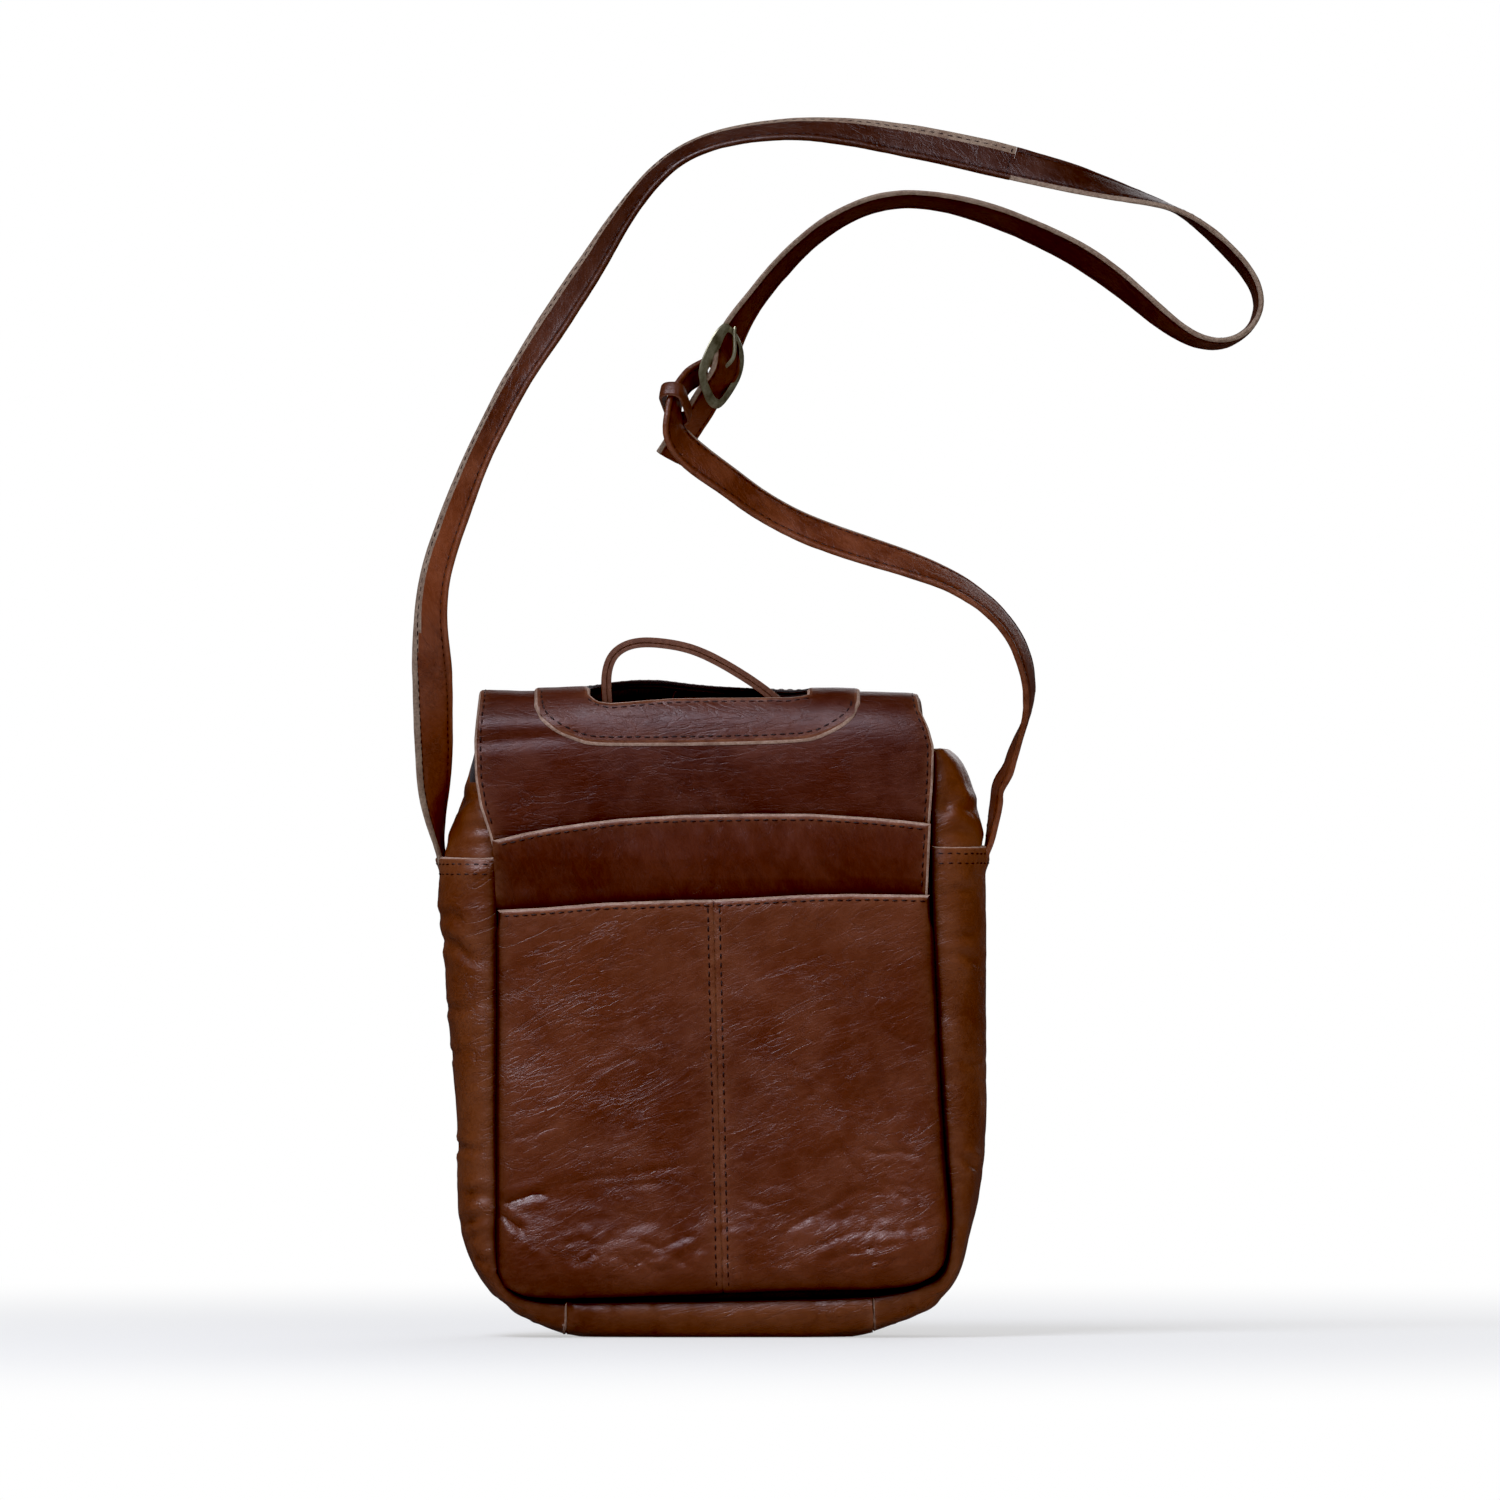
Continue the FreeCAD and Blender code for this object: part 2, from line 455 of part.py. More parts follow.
save("slot_patch_rear", slot_patch(patch_start, rear_fold - FOLD_GAP - 0.1, 8))
save("slot_patch_top", slot_patch(top_start + 0.1, patch_end, 12).cut(slot_cutter()))

# ---------------------------------------------------------------- magnetic snap
# One half sits on the front pocket, the other inside the flap
SNAP_Z = 128.0
SNAP_R = 8.0

snap_cup = y_cylinder(0, FRONT_Y + 5.0, SNAP_Z, 3.4, 4)
save("snap_base", y_cylinder(0, FRONT_Y + 3.3, SNAP_Z, SNAP_R, 3.2).cut(snap_cup))
washer_hole = y_cylinder(0, 0, SNAP_Z, 2.0, 60)
save("snap_base_washer", y_cylinder(0, FRONT_Y - 1.35, SNAP_Z, 7.0, 0.45).cut(washer_hole))
stud_pin = y_cylinder(0, 31.0, SNAP_Z, 3.0, 3.0)
save("snap_stud", y_cylinder(0, 33.7, SNAP_Z, SNAP_R, 2.0).fuse(stud_pin).removeSplitter())

# ---------------------------------------------------------------- grab handle
HANDLE_W = 12.4
HANDLE_PLY = 1.5
HANDLE_Y = -10.7                   # middle of the handle
PLY_GAP = 0.08                     # mid line to each ply
# Mid line of the arch: x, z
ARCH = [
    (-43.9, 262.2), (-44.6, 269.0), (-45.0, 276.5), (-44.2, 283.5), (-41.6, 288.8),
    (-36.5, 292.4), (-28.6, 293.9), (-20.5, 293.4), (-12.0, 291.8), (-4.0, 289.0), (4.0, 285.0),
    (11.8, 280.4), (19.0, 275.6), (25.2, 270.8), (30.0, 266.0), (32.6, 262.6)]

arch = spline_points([V(x, 0, z) for x, z in ARCH], 48)


def handle_ply(offset0, offset1):
    """Ply between two offsets from the arch, positive outwards."""
    sides = [], []
    for i, point in enumerate(arch):
        tangent = arch[min(i + 1, len(arch) - 1)] - arch[max(i - 1, 0)]
        tangent.normalize()
        for side, offset in zip(sides, (offset0, offset1)):
            side.append((point.x - tangent.z * offset, point.z + tangent.x * offset))
    return prism_xz(sides[0] + sides[1][::-1], HANDLE_Y - HANDLE_W / 2, HANDLE_Y + HANDLE_W / 2)


save("handle_outer_ply", handle_ply(PLY_GAP, PLY_GAP + HANDLE_PLY))
save("handle_inner_ply", handle_ply(-PLY_GAP - HANDLE_PLY, -PLY_GAP))

# ---------------------------------------------------------------- zip across the mouth
ZIP_Z = 248.6                      # underside of the tape
ZIP_HALF = 82.0
TAPE_T = 0.5
TAPE_Y0, TAPE_Y1 = 1.2, 24.2
PITCH = 3.2
COMB_BACK, COMB_ROOT, COMB_TIP = 1.1, 0.55, -0.35      # y on the comb's own side
SLIDER_X = 75.0
SLIDER_HALF_X, SLIDER_HALF_Y = 4.5, 4.0
SLIDER_Z = ZIP_Z + 1.45            # underside of the top plate
PIN_Z = SLIDER_Z + 2.8
PULL_LEN = 17.0
PULL_HALF_T = 0.6


def zip_comb(side):
    """Row of teeth; side is -1 rear, 1 front, shifted half a pitch from the rear."""
    end_x = ZIP_HALF - 1
    first_x = -end_x + (0.0 if side < 0 else PITCH / 2) + 0.3
    outline_xy = [(-end_x, COMB_BACK), (-end_x, COMB_ROOT)]
    for k in range(int(2 * (ZIP_HALF - 2) / PITCH)):
        x = first_x + k * PITCH
        outline_xy += [(x, COMB_ROOT), (x + 0.12, COMB_TIP), (x + 1.08, COMB_TIP),
                       (x + 1.2, COMB_ROOT)]
    outline_xy += [(end_x, COMB_ROOT), (end_x, COMB_BACK)]
    return extrude([V(x, side * y, ZIP_Z - 0.3) for x, y in outline_xy], V(0, 0, 1.6))


def zip_slider():
    """Top plate with two side rails, two lugs and the pin between them."""
    x0, x1 = SLIDER_X - SLIDER_HALF_X, SLIDER_X + SLIDER_HALF_X
    slider = box(x0, x1, -SLIDER_HALF_Y, SLIDER_HALF_Y, SLIDER_Z, SLIDER_Z + 1.0)
    for side in (-1, 1):
        y0, y1 = sorted((side * (SLIDER_HALF_Y - 1.0), side * SLIDER_HALF_Y))
        slider = slider.fuse(box(x0, x1, y0, y1, ZIP_Z + 0.65, SLIDER_Z + 0.1))
    for side in (-1, 1):
        y0, y1 = sorted((side * 1.5, side * 2.4))
        slider = slider.fuse(
            box(SLIDER_X - 1.4, SLIDER_X + 1.4, y0, y1, SLIDER_Z + 0.9, SLIDER_Z + 4.0))
    return slider.fuse(y_cylinder(SLIDER_X, -2.0, PIN_Z, 0.6, 4.0)).removeSplitter()


def zip_pull():
    """Narrow neck with a rounded eye on the pin, then a wide tab towards -X."""
    z0, z1 = PIN_Z - PULL_HALF_T, PIN_Z + PULL_HALF_T
    pull = box(SLIDER_X - 7.0, SLIDER_X, -1.35, 1.35, z0, z1)
    pull = pull.fuse(y_cylinder(SLIDER_X, -1.35, PIN_Z, 1.35, 2.7))
    pull = pull.fuse(box(SLIDER_X - PULL_LEN, SLIDER_X - 5.0, -3.2, 3.2, z0, z1))
    return pull.cut(y_cylinder(SLIDER_X, -4, PIN_Z, 0.66, 8)).removeSplitter()


save("zip_tape_rear", box(-86, 87, -TAPE_Y1, -TAPE_Y0, ZIP_Z, ZIP_Z + TAPE_T))
save("zip_tape_front", box(-86, 87, TAPE_Y0, TAPE_Y1, ZIP_Z, ZIP_Z + TAPE_T))
save("zip_teeth_rear", zip_comb(-1))
save("zip_teeth_front", zip_comb(1))
save("zip_end_stops", *[box(x0, x0 + 2.6, -2.2, 2.2, ZIP_Z + 0.6, ZIP_Z + 1.8)
                        for x0 in (-84.0, 81.4)])
save("zip_slider", zip_slider())
save("zip_pull", zip_pull())

# ---------------------------------------------------------------- shoulder strap
STRAP_W = 17.0
STRAP_T = 2.6
STRAP_JOIN = 55        # last station of the long length; the adjusting end starts at the next

# Buckle axes: along the strap, across it, and the way the buckle faces
BUCKLE_TILT = math.radians(50)
BUCKLE_CENTRE = V(3.57, -62.0, 409.1)
ALONG = V(-0.375, 0, -0.927)
LEVEL = V(0.927, 0, -0.375)        # across the strap before the tilt
ACROSS = LEVEL * math.cos(BUCKLE_TILT) + V(0, 1, 0) * math.sin(BUCKLE_TILT)
FACING = LEVEL * math.sin(BUCKLE_TILT) - V(0, 1, 0) * math.cos(BUCKLE_TILT)


def station_frame(stations, i):
    """Centre, tangent, width direction and face normal of the strap at station i."""
    def centre(k):
        return V(*stations[k][:3])

    tangent = centre(min(i + 1, len(stations) - 1)) - centre(max(i - 1, 0))
    tangent.normalize()
    left = V(-tangent.z, 0, tangent.x)
    left.normalize()
    deep = left.cross(tangent)
    if deep.y < 0:
        deep = deep * -1
    twist = math.radians(stations[i][3])
    width = left * math.cos(twist) + deep * math.sin(twist)
    width = width - tangent * width.dot(tangent)
    width.normalize()
    normal = tangent.cross(width)
    normal.normalize()
    return centre(i), tangent, width, normal


def ribbon(stations, lift=lambda centre: 0.0):
    """Twisted strap lofted through rectangles; lift moves each along its face normal."""
    wires = []
    for i in range(len(stations)):
        centre, _, width, normal = station_frame(stations, i)
        middle = centre + normal * lift(centre)
        across, out = width * (STRAP_W / 2), normal * (STRAP_T / 2)
        corners = [middle + across + out, middle + across - out,
                   middle - across - out, middle - across + out]
        wires.append(Part.makePolygon(corners + [corners[0]]))
    return outward(Part.makeLoft(wires, True, True))


def weave(centre):
    """Lift of the strap over the middle bar of the buckle."""
    return 7.3 * math.exp(-((centre - BUCKLE_CENTRE).dot(ALONG) / 8.0) ** 2)


def refine(stations, reach=30.0, parts=5):
    """More stations where the strap weaves through the buckle."""
    refined = [stations[0]]
    for p, q in zip(stations, stations[1:]):
        if min((V(*s[:3]) - BUCKLE_CENTRE).Length for s in (p, q)) < reach:
            refined += [tuple(lerp(a, b, k / parts) for a, b in zip(p, q))
                        for k in range(1, parts)]
        refined.append(q)
    return refined


def on_buckle(along, across, facing):
    return BUCKLE_CENTRE + ALONG * along + ACROSS * across + FACING * facing


def buckle_box(length, width, height, corner, origin):
    matrix = axes_matrix(origin, ALONG, ACROSS, FACING)
    return Part.makeBox(length, width, height, corner).transformGeometry(matrix)


def adjusting_end():
    """Far end of the long strap, slit for the prong; only the main body is kept."""
    slit = buckle_box(15.2, 3.4, 24, V(-15.6, -1.7, -10), BUCKLE_CENTRE)
    cut = ribbon(refine(STRAP_LONG[STRAP_JOIN + 1:]), weave).cut(slit)
    return max(cut.Solids, key=lambda solid: solid.Volume)


save("strap_long", ribbon(STRAP_LONG[:STRAP_JOIN + 1]))
save("strap_adjusting_end", adjusting_end())
save("strap_short", ribbon(STRAP_SHORT))

# ---------------------------------------------------------------- buckle
RING_R = 1.6           # ring wire radius
RING_LIFT = 3.6        # ring centre line above the buckle centre, along FACING
BAR_R = 1.1
BAR_LIFT = 1.2
BAR_HALF = 13.6        # across the strap, from the middle to the bar's start
# Ring centre line: along, across
RING = [
    (-17.4, -7.0), (-15.6, -0.6), (-12.6, 6.0), (-7.0, 11.2), (0.6, 14.2), (8.4, 13.8),
    (14.6, 11.0), (17.2, 6.6), (16.2, 0.2), (12.6, -6.6), (6.6, -11.6), (-0.6, -13.6),
    (-8.0, -13.4), (-14.4, -11.0)]


def bar_cylinder(radius, length, start):
    """Cylinder on the bar's axis, from start across the strap."""
    return Part.makeCylinder(radius, length, on_buckle(0, start, BAR_LIFT), ACROSS)


def buckle_frame():
    """Closed wire ring with a straight bar across it."""
    curve = Part.BSplineCurve()
    curve.interpolate(Points=[on_buckle(a, b, RING_LIFT) for a, b in RING], PeriodicFlag=True)
    start = curve.FirstParameter
    circle = Part.makeCircle(RING_R, curve.value(start), curve.tangent(start)[0])
    ring = Part.Wire([curve.toShape()]).makePipeShell([Part.Wire([circle])], True, False)
    return ring.fuse(bar_cylinder(BAR_R, 27.8, -BAR_HALF)).removeSplitter()


def short_fold():
    """Folded end of the short strap round the bar, in two ears with room for the prong."""
    fold = bar_cylinder(3.1, 15.0, -7.5).cut(bar_cylinder(BAR_R + 0.15, 40.0, -20))
    return fold.cut(buckle_box(16, 3.6, 16, V(-8, -1.8, -8), on_buckle(0, 0, BAR_LIFT)))


def buckle_prong():
    """Sleeve on the bar with a straight tongue out to the ring."""
    width, thickness = 1.8, 1.5
    root = on_buckle(0, 0, BAR_LIFT)
    direction = on_buckle(-17.7, 0, 7.0) - root
    length = direction.Length
    direction.normalize()
    matrix = axes_matrix(root, direction, ACROSS, direction.cross(ACROSS))
    tongue = Part.makeBox(length, width, thickness, V(0, -width / 2, -thickness / 2))
    prong = bar_cylinder(2.0, 2.4, -1.2).fuse(tongue.transformGeometry(matrix))
    return prong.cut(bar_cylinder(BAR_R + 0.06, 20.0, -10))


save("buckle_frame", buckle_frame())
save("strap_short_fold", short_fold())
save("buckle_prong", buckle_prong())

# ---------------------------------------------------------------- keeper loop
KEEPER_STATION = 3     # station of the short strap


def centred_box(x0, length, width, height):
    return Part.makeBox(length, width, height, V(x0, -width / 2, -height / 2))


def strap_keeper():
    """Rectangular loop round the short strap."""
    centre, tangent, width, normal = station_frame(STRAP_SHORT, KEEPER_STATION)
    keeper = centred_box(-3.0, 7, STRAP_W + 5.6, STRAP_T + 8.2)
    keeper = keeper.cut(centred_box(-10, 20, STRAP_W + 2.8, STRAP_T + 5.6))
    return keeper.transformGeometry(axes_matrix(centre, tangent, width, normal))


save("strap_keeper", strap_keeper())
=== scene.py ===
"""Crossbody purse: leather, lining, stitching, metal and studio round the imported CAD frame.

X runs across the bag (left is -X) and Z is up. The back, with its slip pocket, faces -Y
towards the camera; the flap rises at the back and drops over the front at +Y.
Geometry and its tables are in millimetres, and `make` turns them into metres.
"""
import bpy
import json
import math
from collections import namedtuple
from functools import cached_property
import numpy as np
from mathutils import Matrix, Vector
from mathutils.bvhtree import BVHTree
from mathutils.kdtree import KDTree

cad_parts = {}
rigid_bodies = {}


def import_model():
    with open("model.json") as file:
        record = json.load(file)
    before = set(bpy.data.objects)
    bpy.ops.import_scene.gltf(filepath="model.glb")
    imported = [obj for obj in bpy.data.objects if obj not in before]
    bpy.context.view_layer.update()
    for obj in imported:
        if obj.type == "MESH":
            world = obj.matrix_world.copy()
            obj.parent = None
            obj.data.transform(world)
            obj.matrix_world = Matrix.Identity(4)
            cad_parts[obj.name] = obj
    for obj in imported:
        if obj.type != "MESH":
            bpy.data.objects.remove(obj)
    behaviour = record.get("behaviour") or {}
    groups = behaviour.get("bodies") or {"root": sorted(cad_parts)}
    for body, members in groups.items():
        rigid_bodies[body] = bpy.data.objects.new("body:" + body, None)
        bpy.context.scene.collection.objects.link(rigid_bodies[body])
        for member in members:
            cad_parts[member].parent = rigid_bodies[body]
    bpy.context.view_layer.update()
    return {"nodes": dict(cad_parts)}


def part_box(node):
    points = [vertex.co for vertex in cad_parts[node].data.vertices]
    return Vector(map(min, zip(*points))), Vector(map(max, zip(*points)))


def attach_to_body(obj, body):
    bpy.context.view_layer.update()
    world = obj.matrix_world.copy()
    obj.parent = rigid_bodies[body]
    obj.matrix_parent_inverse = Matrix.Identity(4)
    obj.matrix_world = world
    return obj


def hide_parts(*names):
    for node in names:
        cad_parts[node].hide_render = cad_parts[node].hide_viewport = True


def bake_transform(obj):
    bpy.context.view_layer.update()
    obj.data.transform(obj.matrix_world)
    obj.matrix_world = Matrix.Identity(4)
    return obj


for old in list(bpy.data.objects):
    bpy.data.objects.remove(old)
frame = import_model()

BACK = (0, -1, 0)
FRONT = (0, 1, 0)
BAG_CENTRE = np.array([0.0, 0.0, 130.0])


# ================================================================== NOISE AND CURVES
noise_draws = np.random.RandomState(11)
LATTICE_ORDER = noise_draws.permutation(512)
LATTICE_VALUES = noise_draws.rand(512) * 2 - 1


def value_noise(points):
    """Smooth noise in -1..1 from random values on an integer lattice."""
    cell = np.floor(points).astype(int)
    part = points - cell
    ease = part * part * part * (part * (part * 6 - 15) + 10)
    total = 0
    for corner in np.ndindex(2, 2, 2):
        order, weight = 0, 1
        for axis, step in enumerate(corner):
            index = (order + cell[..., axis] + step) & 511
            order = LATTICE_ORDER[index]
            weight = weight * (ease[..., axis] if step else 1 - ease[..., axis])
        total = total + LATTICE_VALUES[index] * weight
    return total


def clouds(points, size, octaves, seed):
    """Layered soft noise; size is the width of the largest lumps."""
    spot = np.asarray(points, float) / size + seed * 17.31 + 100
    total, weight = 0, 1.0
    for _ in range(octaves):
        total = total + weight * value_noise(spot)
        spot = spot * 2.03 + 5.7
        weight *= 0.5
    return total


def ridges(points, size, octaves, seed):
    """0 away from creases, 1 on thin branching lines."""
    spot = np.asarray(points, float) / size + seed * 9.7 + 50
    warp = np.stack([value_noise(spot + shift) for shift in (31.4, 71.9, 13.2)], -1)
    spot = spot + warp * 0.6
    total, weight, weights = 0, 1.0, 0
    for _ in range(octaves):
        total = total + weight * (1 - np.abs(value_noise(spot))) ** 6
        weights += weight
        spot = spot * 1.9 + 3.3
        weight *= 0.6
    return total / weights


def smooth(t):
    """Eased step from 0 to 1."""
    t = np.clip(t, 0, 1)
    return t * t * (3 - 2 * t)


def hill(offset, width):
    """Bell curve: 1 at no offset, falling off over the width."""
    return np.exp(-(offset / width) ** 2)


def between(start, end, share):
    return start + (end - start) * share


def unit(v):
    return v / np.maximum(np.linalg.norm(v, axis=-1, keepdims=True), 1e-12)


def lookup(x, table):
    """Straight-line reading of a table of (position, value)."""
    table = np.asarray(table, float)
    return np.interp(x, table[:, 0], table[:, 1])


def shifted(table, by):
    return np.add(table, (0, by))


def at(edge, position):
    """Edge at a position; the edge is a function, a number or a table."""
    if callable(edge):
        return edge(position)
    if np.isscalar(edge):
        return edge + 0 * position
    return lookup(position, edge)


def flat(x, z, y=0.0):
    return np.stack(np.broadcast_arrays(x, y, z), -1)


def chord_lengths(points):
    return np.r_[0, np.cumsum(np.linalg.norm(np.diff(points, axis=0), axis=1))]


def spline(points, step=None, count=None):
    """Natural cubic through points of any dimension, resampled evenly."""
    P = np.asarray(points, float)
    gaps = np.maximum(np.linalg.norm(np.diff(P[:, :3], axis=0), axis=1), 1e-6)
    knots = np.r_[0, np.cumsum(gaps)]
    last = len(P) - 1
    h = np.diff(knots)
    matrix = np.zeros((last + 1, last + 1))
    right = np.zeros((last + 1, P.shape[1]))
    matrix[0, 0] = matrix[-1, -1] = 1
    for i in range(1, last):
        matrix[i, i - 1:i + 2] = h[i - 1], 2 * (h[i - 1] + h[i]), h[i]
        right[i] = 6 * ((P[i + 1] - P[i]) / h[i] - (P[i] - P[i - 1]) / h[i - 1])
    bend = np.linalg.solve(matrix, right)
    count = count or max(2, int(round(knots[-1] / step)) + 1)
    t = np.linspace(0, knots[-1], count)
    k = np.clip(np.searchsorted(knots, t, side="right") - 1, 0, last - 1)
    ahead = (knots[k + 1] - t)[:, None]
    behind = (t - knots[k])[:, None]
    span = h[k][:, None]
    return ((bend[k] * ahead ** 3 + bend[k + 1] * behind ** 3) / (6 * span)
            + (P[k] / span - bend[k] * span / 6) * ahead
            + (P[k + 1] / span - bend[k + 1] * span / 6) * behind)


def ticks(start, end, step, first):
    """Even positions from start to end, with end cells of their own width for a chamfer."""
    length = abs(end - start)
    first = min(first, length * 0.3)
    count = max(2, int(round((length - 2 * first) / step)) + 1)
    share = np.r_[0, np.linspace(first, length - first, count), length] / length
    return between(start, end, share)


def cut_corners(starts, ends):
    """Two points on each segment, a quarter in from its ends."""
    return np.stack([0.75 * starts + 0.25 * ends, 0.25 * starts + 0.75 * ends], 1).reshape(-1, 2)


def line_distance(points, line):
    """Distance in the X-Z plane from each point to a polyline, and the share along it."""
    spot = points[..., (0, 2)]
    nearest = np.full(spot.shape[:-1], 1e9)
    share = np.zeros(spot.shape[:-1])
    line = np.asarray(line, float)
    lengths = chord_lengths(line)
    for i, (start, end) in enumerate(zip(line, line[1:])):
        span = end - start
        t = np.clip(((spot - start) @ span) / (span @ span), 0, 1)
        distance = np.linalg.norm(spot - (start + t[..., None] * span), axis=-1)
        closer = distance < nearest
        nearest = np.where(closer, distance, nearest)
        along = (lengths[i] + t * (lengths[i + 1] - lengths[i])) / lengths[-1]
        share = np.where(closer, along, share)
    return nearest, share


def crease(points, line, depth, width, lip=0.45):
    """A soft valley along a polyline with raised lips, fading at both ends."""
    distance, share = line_distance(points, line)
    fade = np.clip(np.minimum(share, 1 - share) * 5, 0.12, 1)
    lips = hill(distance - 1.9 * width, 1.1 * width)
    return (-hill(distance, width) + lip * lips) * depth * fade


# ================================================================== MESH BUILDING
def make(name, verts, faces, mats, mat_index=None, attrs=None, angle=50):
    """Smooth-shaded object in metres; edges sharper than the angle stay sharp (0 keeps none)."""
    mesh = bpy.data.meshes.new(name)
    verts = np.asarray(verts)
    mesh.from_pydata((verts * 0.001).tolist(), [], [list(f) for f in faces])
    for mat in mats:
        mesh.materials.append(mat)
    if mat_index is not None:
        mesh.polygons.foreach_set("material_index", np.asarray(mat_index, np.int32))
    for key, values in {**(attrs or {}), "rest_z": verts[:, 2] * 0.001}.items():
        attribute = mesh.attributes.new(key, "FLOAT", "POINT")
        attribute.data.foreach_set("value", np.asarray(values, np.float32))
    mesh.polygons.foreach_set("use_smooth", np.ones(len(mesh.polygons), bool))
    mesh.update()
    if angle:
        mesh.set_sharp_from_angle(angle=math.radians(angle))
    ob = bpy.data.objects.new(name, mesh)
    bpy.context.scene.collection.objects.link(ob)
    return ob


def attach(ob, slot, body, *nodes):
    """Put a piece in place of CAD nodes, riding on a body."""
    if nodes:
        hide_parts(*nodes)
    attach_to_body(ob, body)


def turned_out(faces, verts, probe, outward):
    """The faces, all reversed if the probe face looks against the outward direction."""
    a, b, c = (verts[k] for k in faces[probe][:3])
    if np.cross(b - a, c - b) @ outward < 0:
        return [face[::-1] for face in faces]
    return faces


def tube_faces(rings, sides, start=0):
    """Walls and end caps over stacked rings of vertices."""
    faces = []
    for i in range(rings - 1):
        low = start + i * sides
        for k in range(sides):
            k2 = (k + 1) % sides
            faces.append((low + k, low + k2, low + sides + k2, low + sides + k))
    last = start + (rings - 1) * sides
    return faces + [tuple(range(start + sides - 1, start - 1, -1)),
                    tuple(range(last, last + sides))]


def tube(path, radii, sides, across):
    along = unit(np.gradient(path, axis=0))
    first = unit(np.cross(along, across))
    second = np.cross(along, first)
    turn = (np.arange(sides) * 2 * math.pi / sides)[None, :, None]
    spokes = first[:, None] * np.cos(turn) + second[:, None] * np.sin(turn)
    verts = path[:, None] + spokes * radii[:, None, None]
    return verts.reshape(-1, 3), tube_faces(len(path), sides)


def grid_normals(grid, facing):
    """Normals turned to the facing side, and whether they had to be turned."""
    normals = unit(np.cross(np.gradient(grid, axis=0), np.gradient(grid, axis=1)))
    turned = (normals * facing).sum() < 0
    return (-normals if turned else normals), turned


def displace(grid, distance, facing):
    return grid + grid_normals(grid, facing)[0] * np.asarray(distance)[..., None]


Sheet = namedtuple("Sheet", "ob surface")
# rim rings from the top down: (inset in chamfers, height in thicknesses)
RIM = [(1.5, 1.0), (0.8, 0.90), (0.28, 0.58), (0.06, 0.20)]
FIRST_ROW, LAST_ROW = np.s_[0, :], np.s_[-1, :]
FIRST_COLUMN, LAST_COLUMN = np.s_[:, 0], np.s_[:, -1]
ALL_BUT_LAST_ROW = (FIRST_ROW, FIRST_COLUMN, LAST_COLUMN)


def sheet(name, under, mats, facing, thick=1.6, chamfer=1.2, hole=None, raw=None, shade=None,
          wear_reach=6.0, plain=()):
    """Sheet with thickness and chamfered cut edges over a grid of underside points.

    mats: top, cut edge, underside, plain edge. hole marks cells left out, raw picks the border
    edges that show the cut, plain lists grid sides without a chamfer.
    """
    rows, cols = under.shape[:2]
    count = rows * cols
    index = np.arange(count).reshape(rows, cols)
    normals, turned = grid_normals(under, facing)
    kept = np.ones((rows - 1, cols - 1), bool) if hole is None else ~hole
    i, j = np.nonzero(kept)
    quads = np.stack([index[i, j], index[i + 1, j], index[i + 1, j + 1], index[i, j + 1]], 1)
    if turned:
        quads = quads[:, ::-1]
    live = np.unique(quads)
    points, normal = under.reshape(-1, 3), normals.reshape(-1, 3)

    # border edges belong to one quad only
    edges = np.concatenate([quads[:, (k, (k + 1) % 4)] for k in range(4)])
    key = np.sort(edges, 1)
    _, inverse, uses = np.unique(key[:, 0].astype(np.int64) * count + key[:, 1],
                                 return_inverse=True, return_counts=True)
    start, end = edges[uses[inverse] == 1].T
    side = unit(np.cross(points[end] - points[start], normal[start] + normal[end]))
    away = np.zeros_like(points)
    np.add.at(away, start, side)
    np.add.at(away, end, side)
    away = unit(away)
    rim = np.unique([start, end])

    cut = np.full((rows, cols), float(chamfer))
    for grid_side in plain:
        cut[grid_side] = 0.0
    cut = cut.ravel()

    def rim_ring(inset, height):
        inward = away[rim] * (inset * cut[rim])[:, None]
        return points[rim] + normal[rim] * (thick * height) - inward

    top = points + normal * thick
    top[rim] = rim_ring(*RIM[0])
    side_rings = [rim_ring(*ring) for ring in RIM[1:]]
    verts = np.concatenate([top[live], *side_rings, points[live]])
    top_of = np.full(count, -1)
    top_of[live] = np.arange(len(live))
    bottom_of = top_of + len(verts) - len(live)
    rings = [top_of[rim]]
    rings += [len(live) + k * len(rim) + np.arange(len(rim)) for k in range(len(side_rings))]
    rings.append(bottom_of[rim])

    faces = [top_of[quads], bottom_of[quads][:, ::-1]]
    mat_index = [np.zeros(len(quads), int), np.full(len(quads), 2 if len(mats) > 2 else 0)]
    uncut = (cut[start] == 0) & (cut[end] == 0)
    if raw is not None:
        uncut |= ~raw((points[start] + points[end]) / 2)
    k0, k1 = np.searchsorted(rim, start), np.searchsorted(rim, end)
    for level, (upper, lower) in enumerate(zip(rings, rings[1:])):
        faces.append(np.stack([upper[k1], upper[k0], lower[k0], lower[k1]], 1))
        cut_mat = np.where(uncut, 3 if len(mats) > 3 else 0, 1)
        mat_index.append(cut_mat if level else np.zeros(len(start), int))
    faces = np.concatenate(faces).tolist()

    tree = KDTree(len(rim))
    for k, vert in enumerate(rim.tolist()):
        tree.insert(points[vert], k)
    tree.balance()
    to_rim = np.array([tree.find(points[vert])[2] for vert in live])
    rim_count = len(side_rings) * len(rim)
    wear = np.r_[np.exp(-to_rim / wear_reach), np.ones(rim_count), np.zeros(len(live))]
    dark = np.zeros(count) if shade is None else shade.reshape(-1)
    shades = np.r_[dark[live], np.tile(dark[rim], len(side_rings)), dark[live]]
    ob = make(name, verts, faces, mats, np.concatenate(mat_index),
              {"wear": wear, "shade": shades})
    surface = BVHTree.FromPolygons([Vector(v) for v in verts], [tuple(f) for f in faces])
    return Sheet(ob, surface)


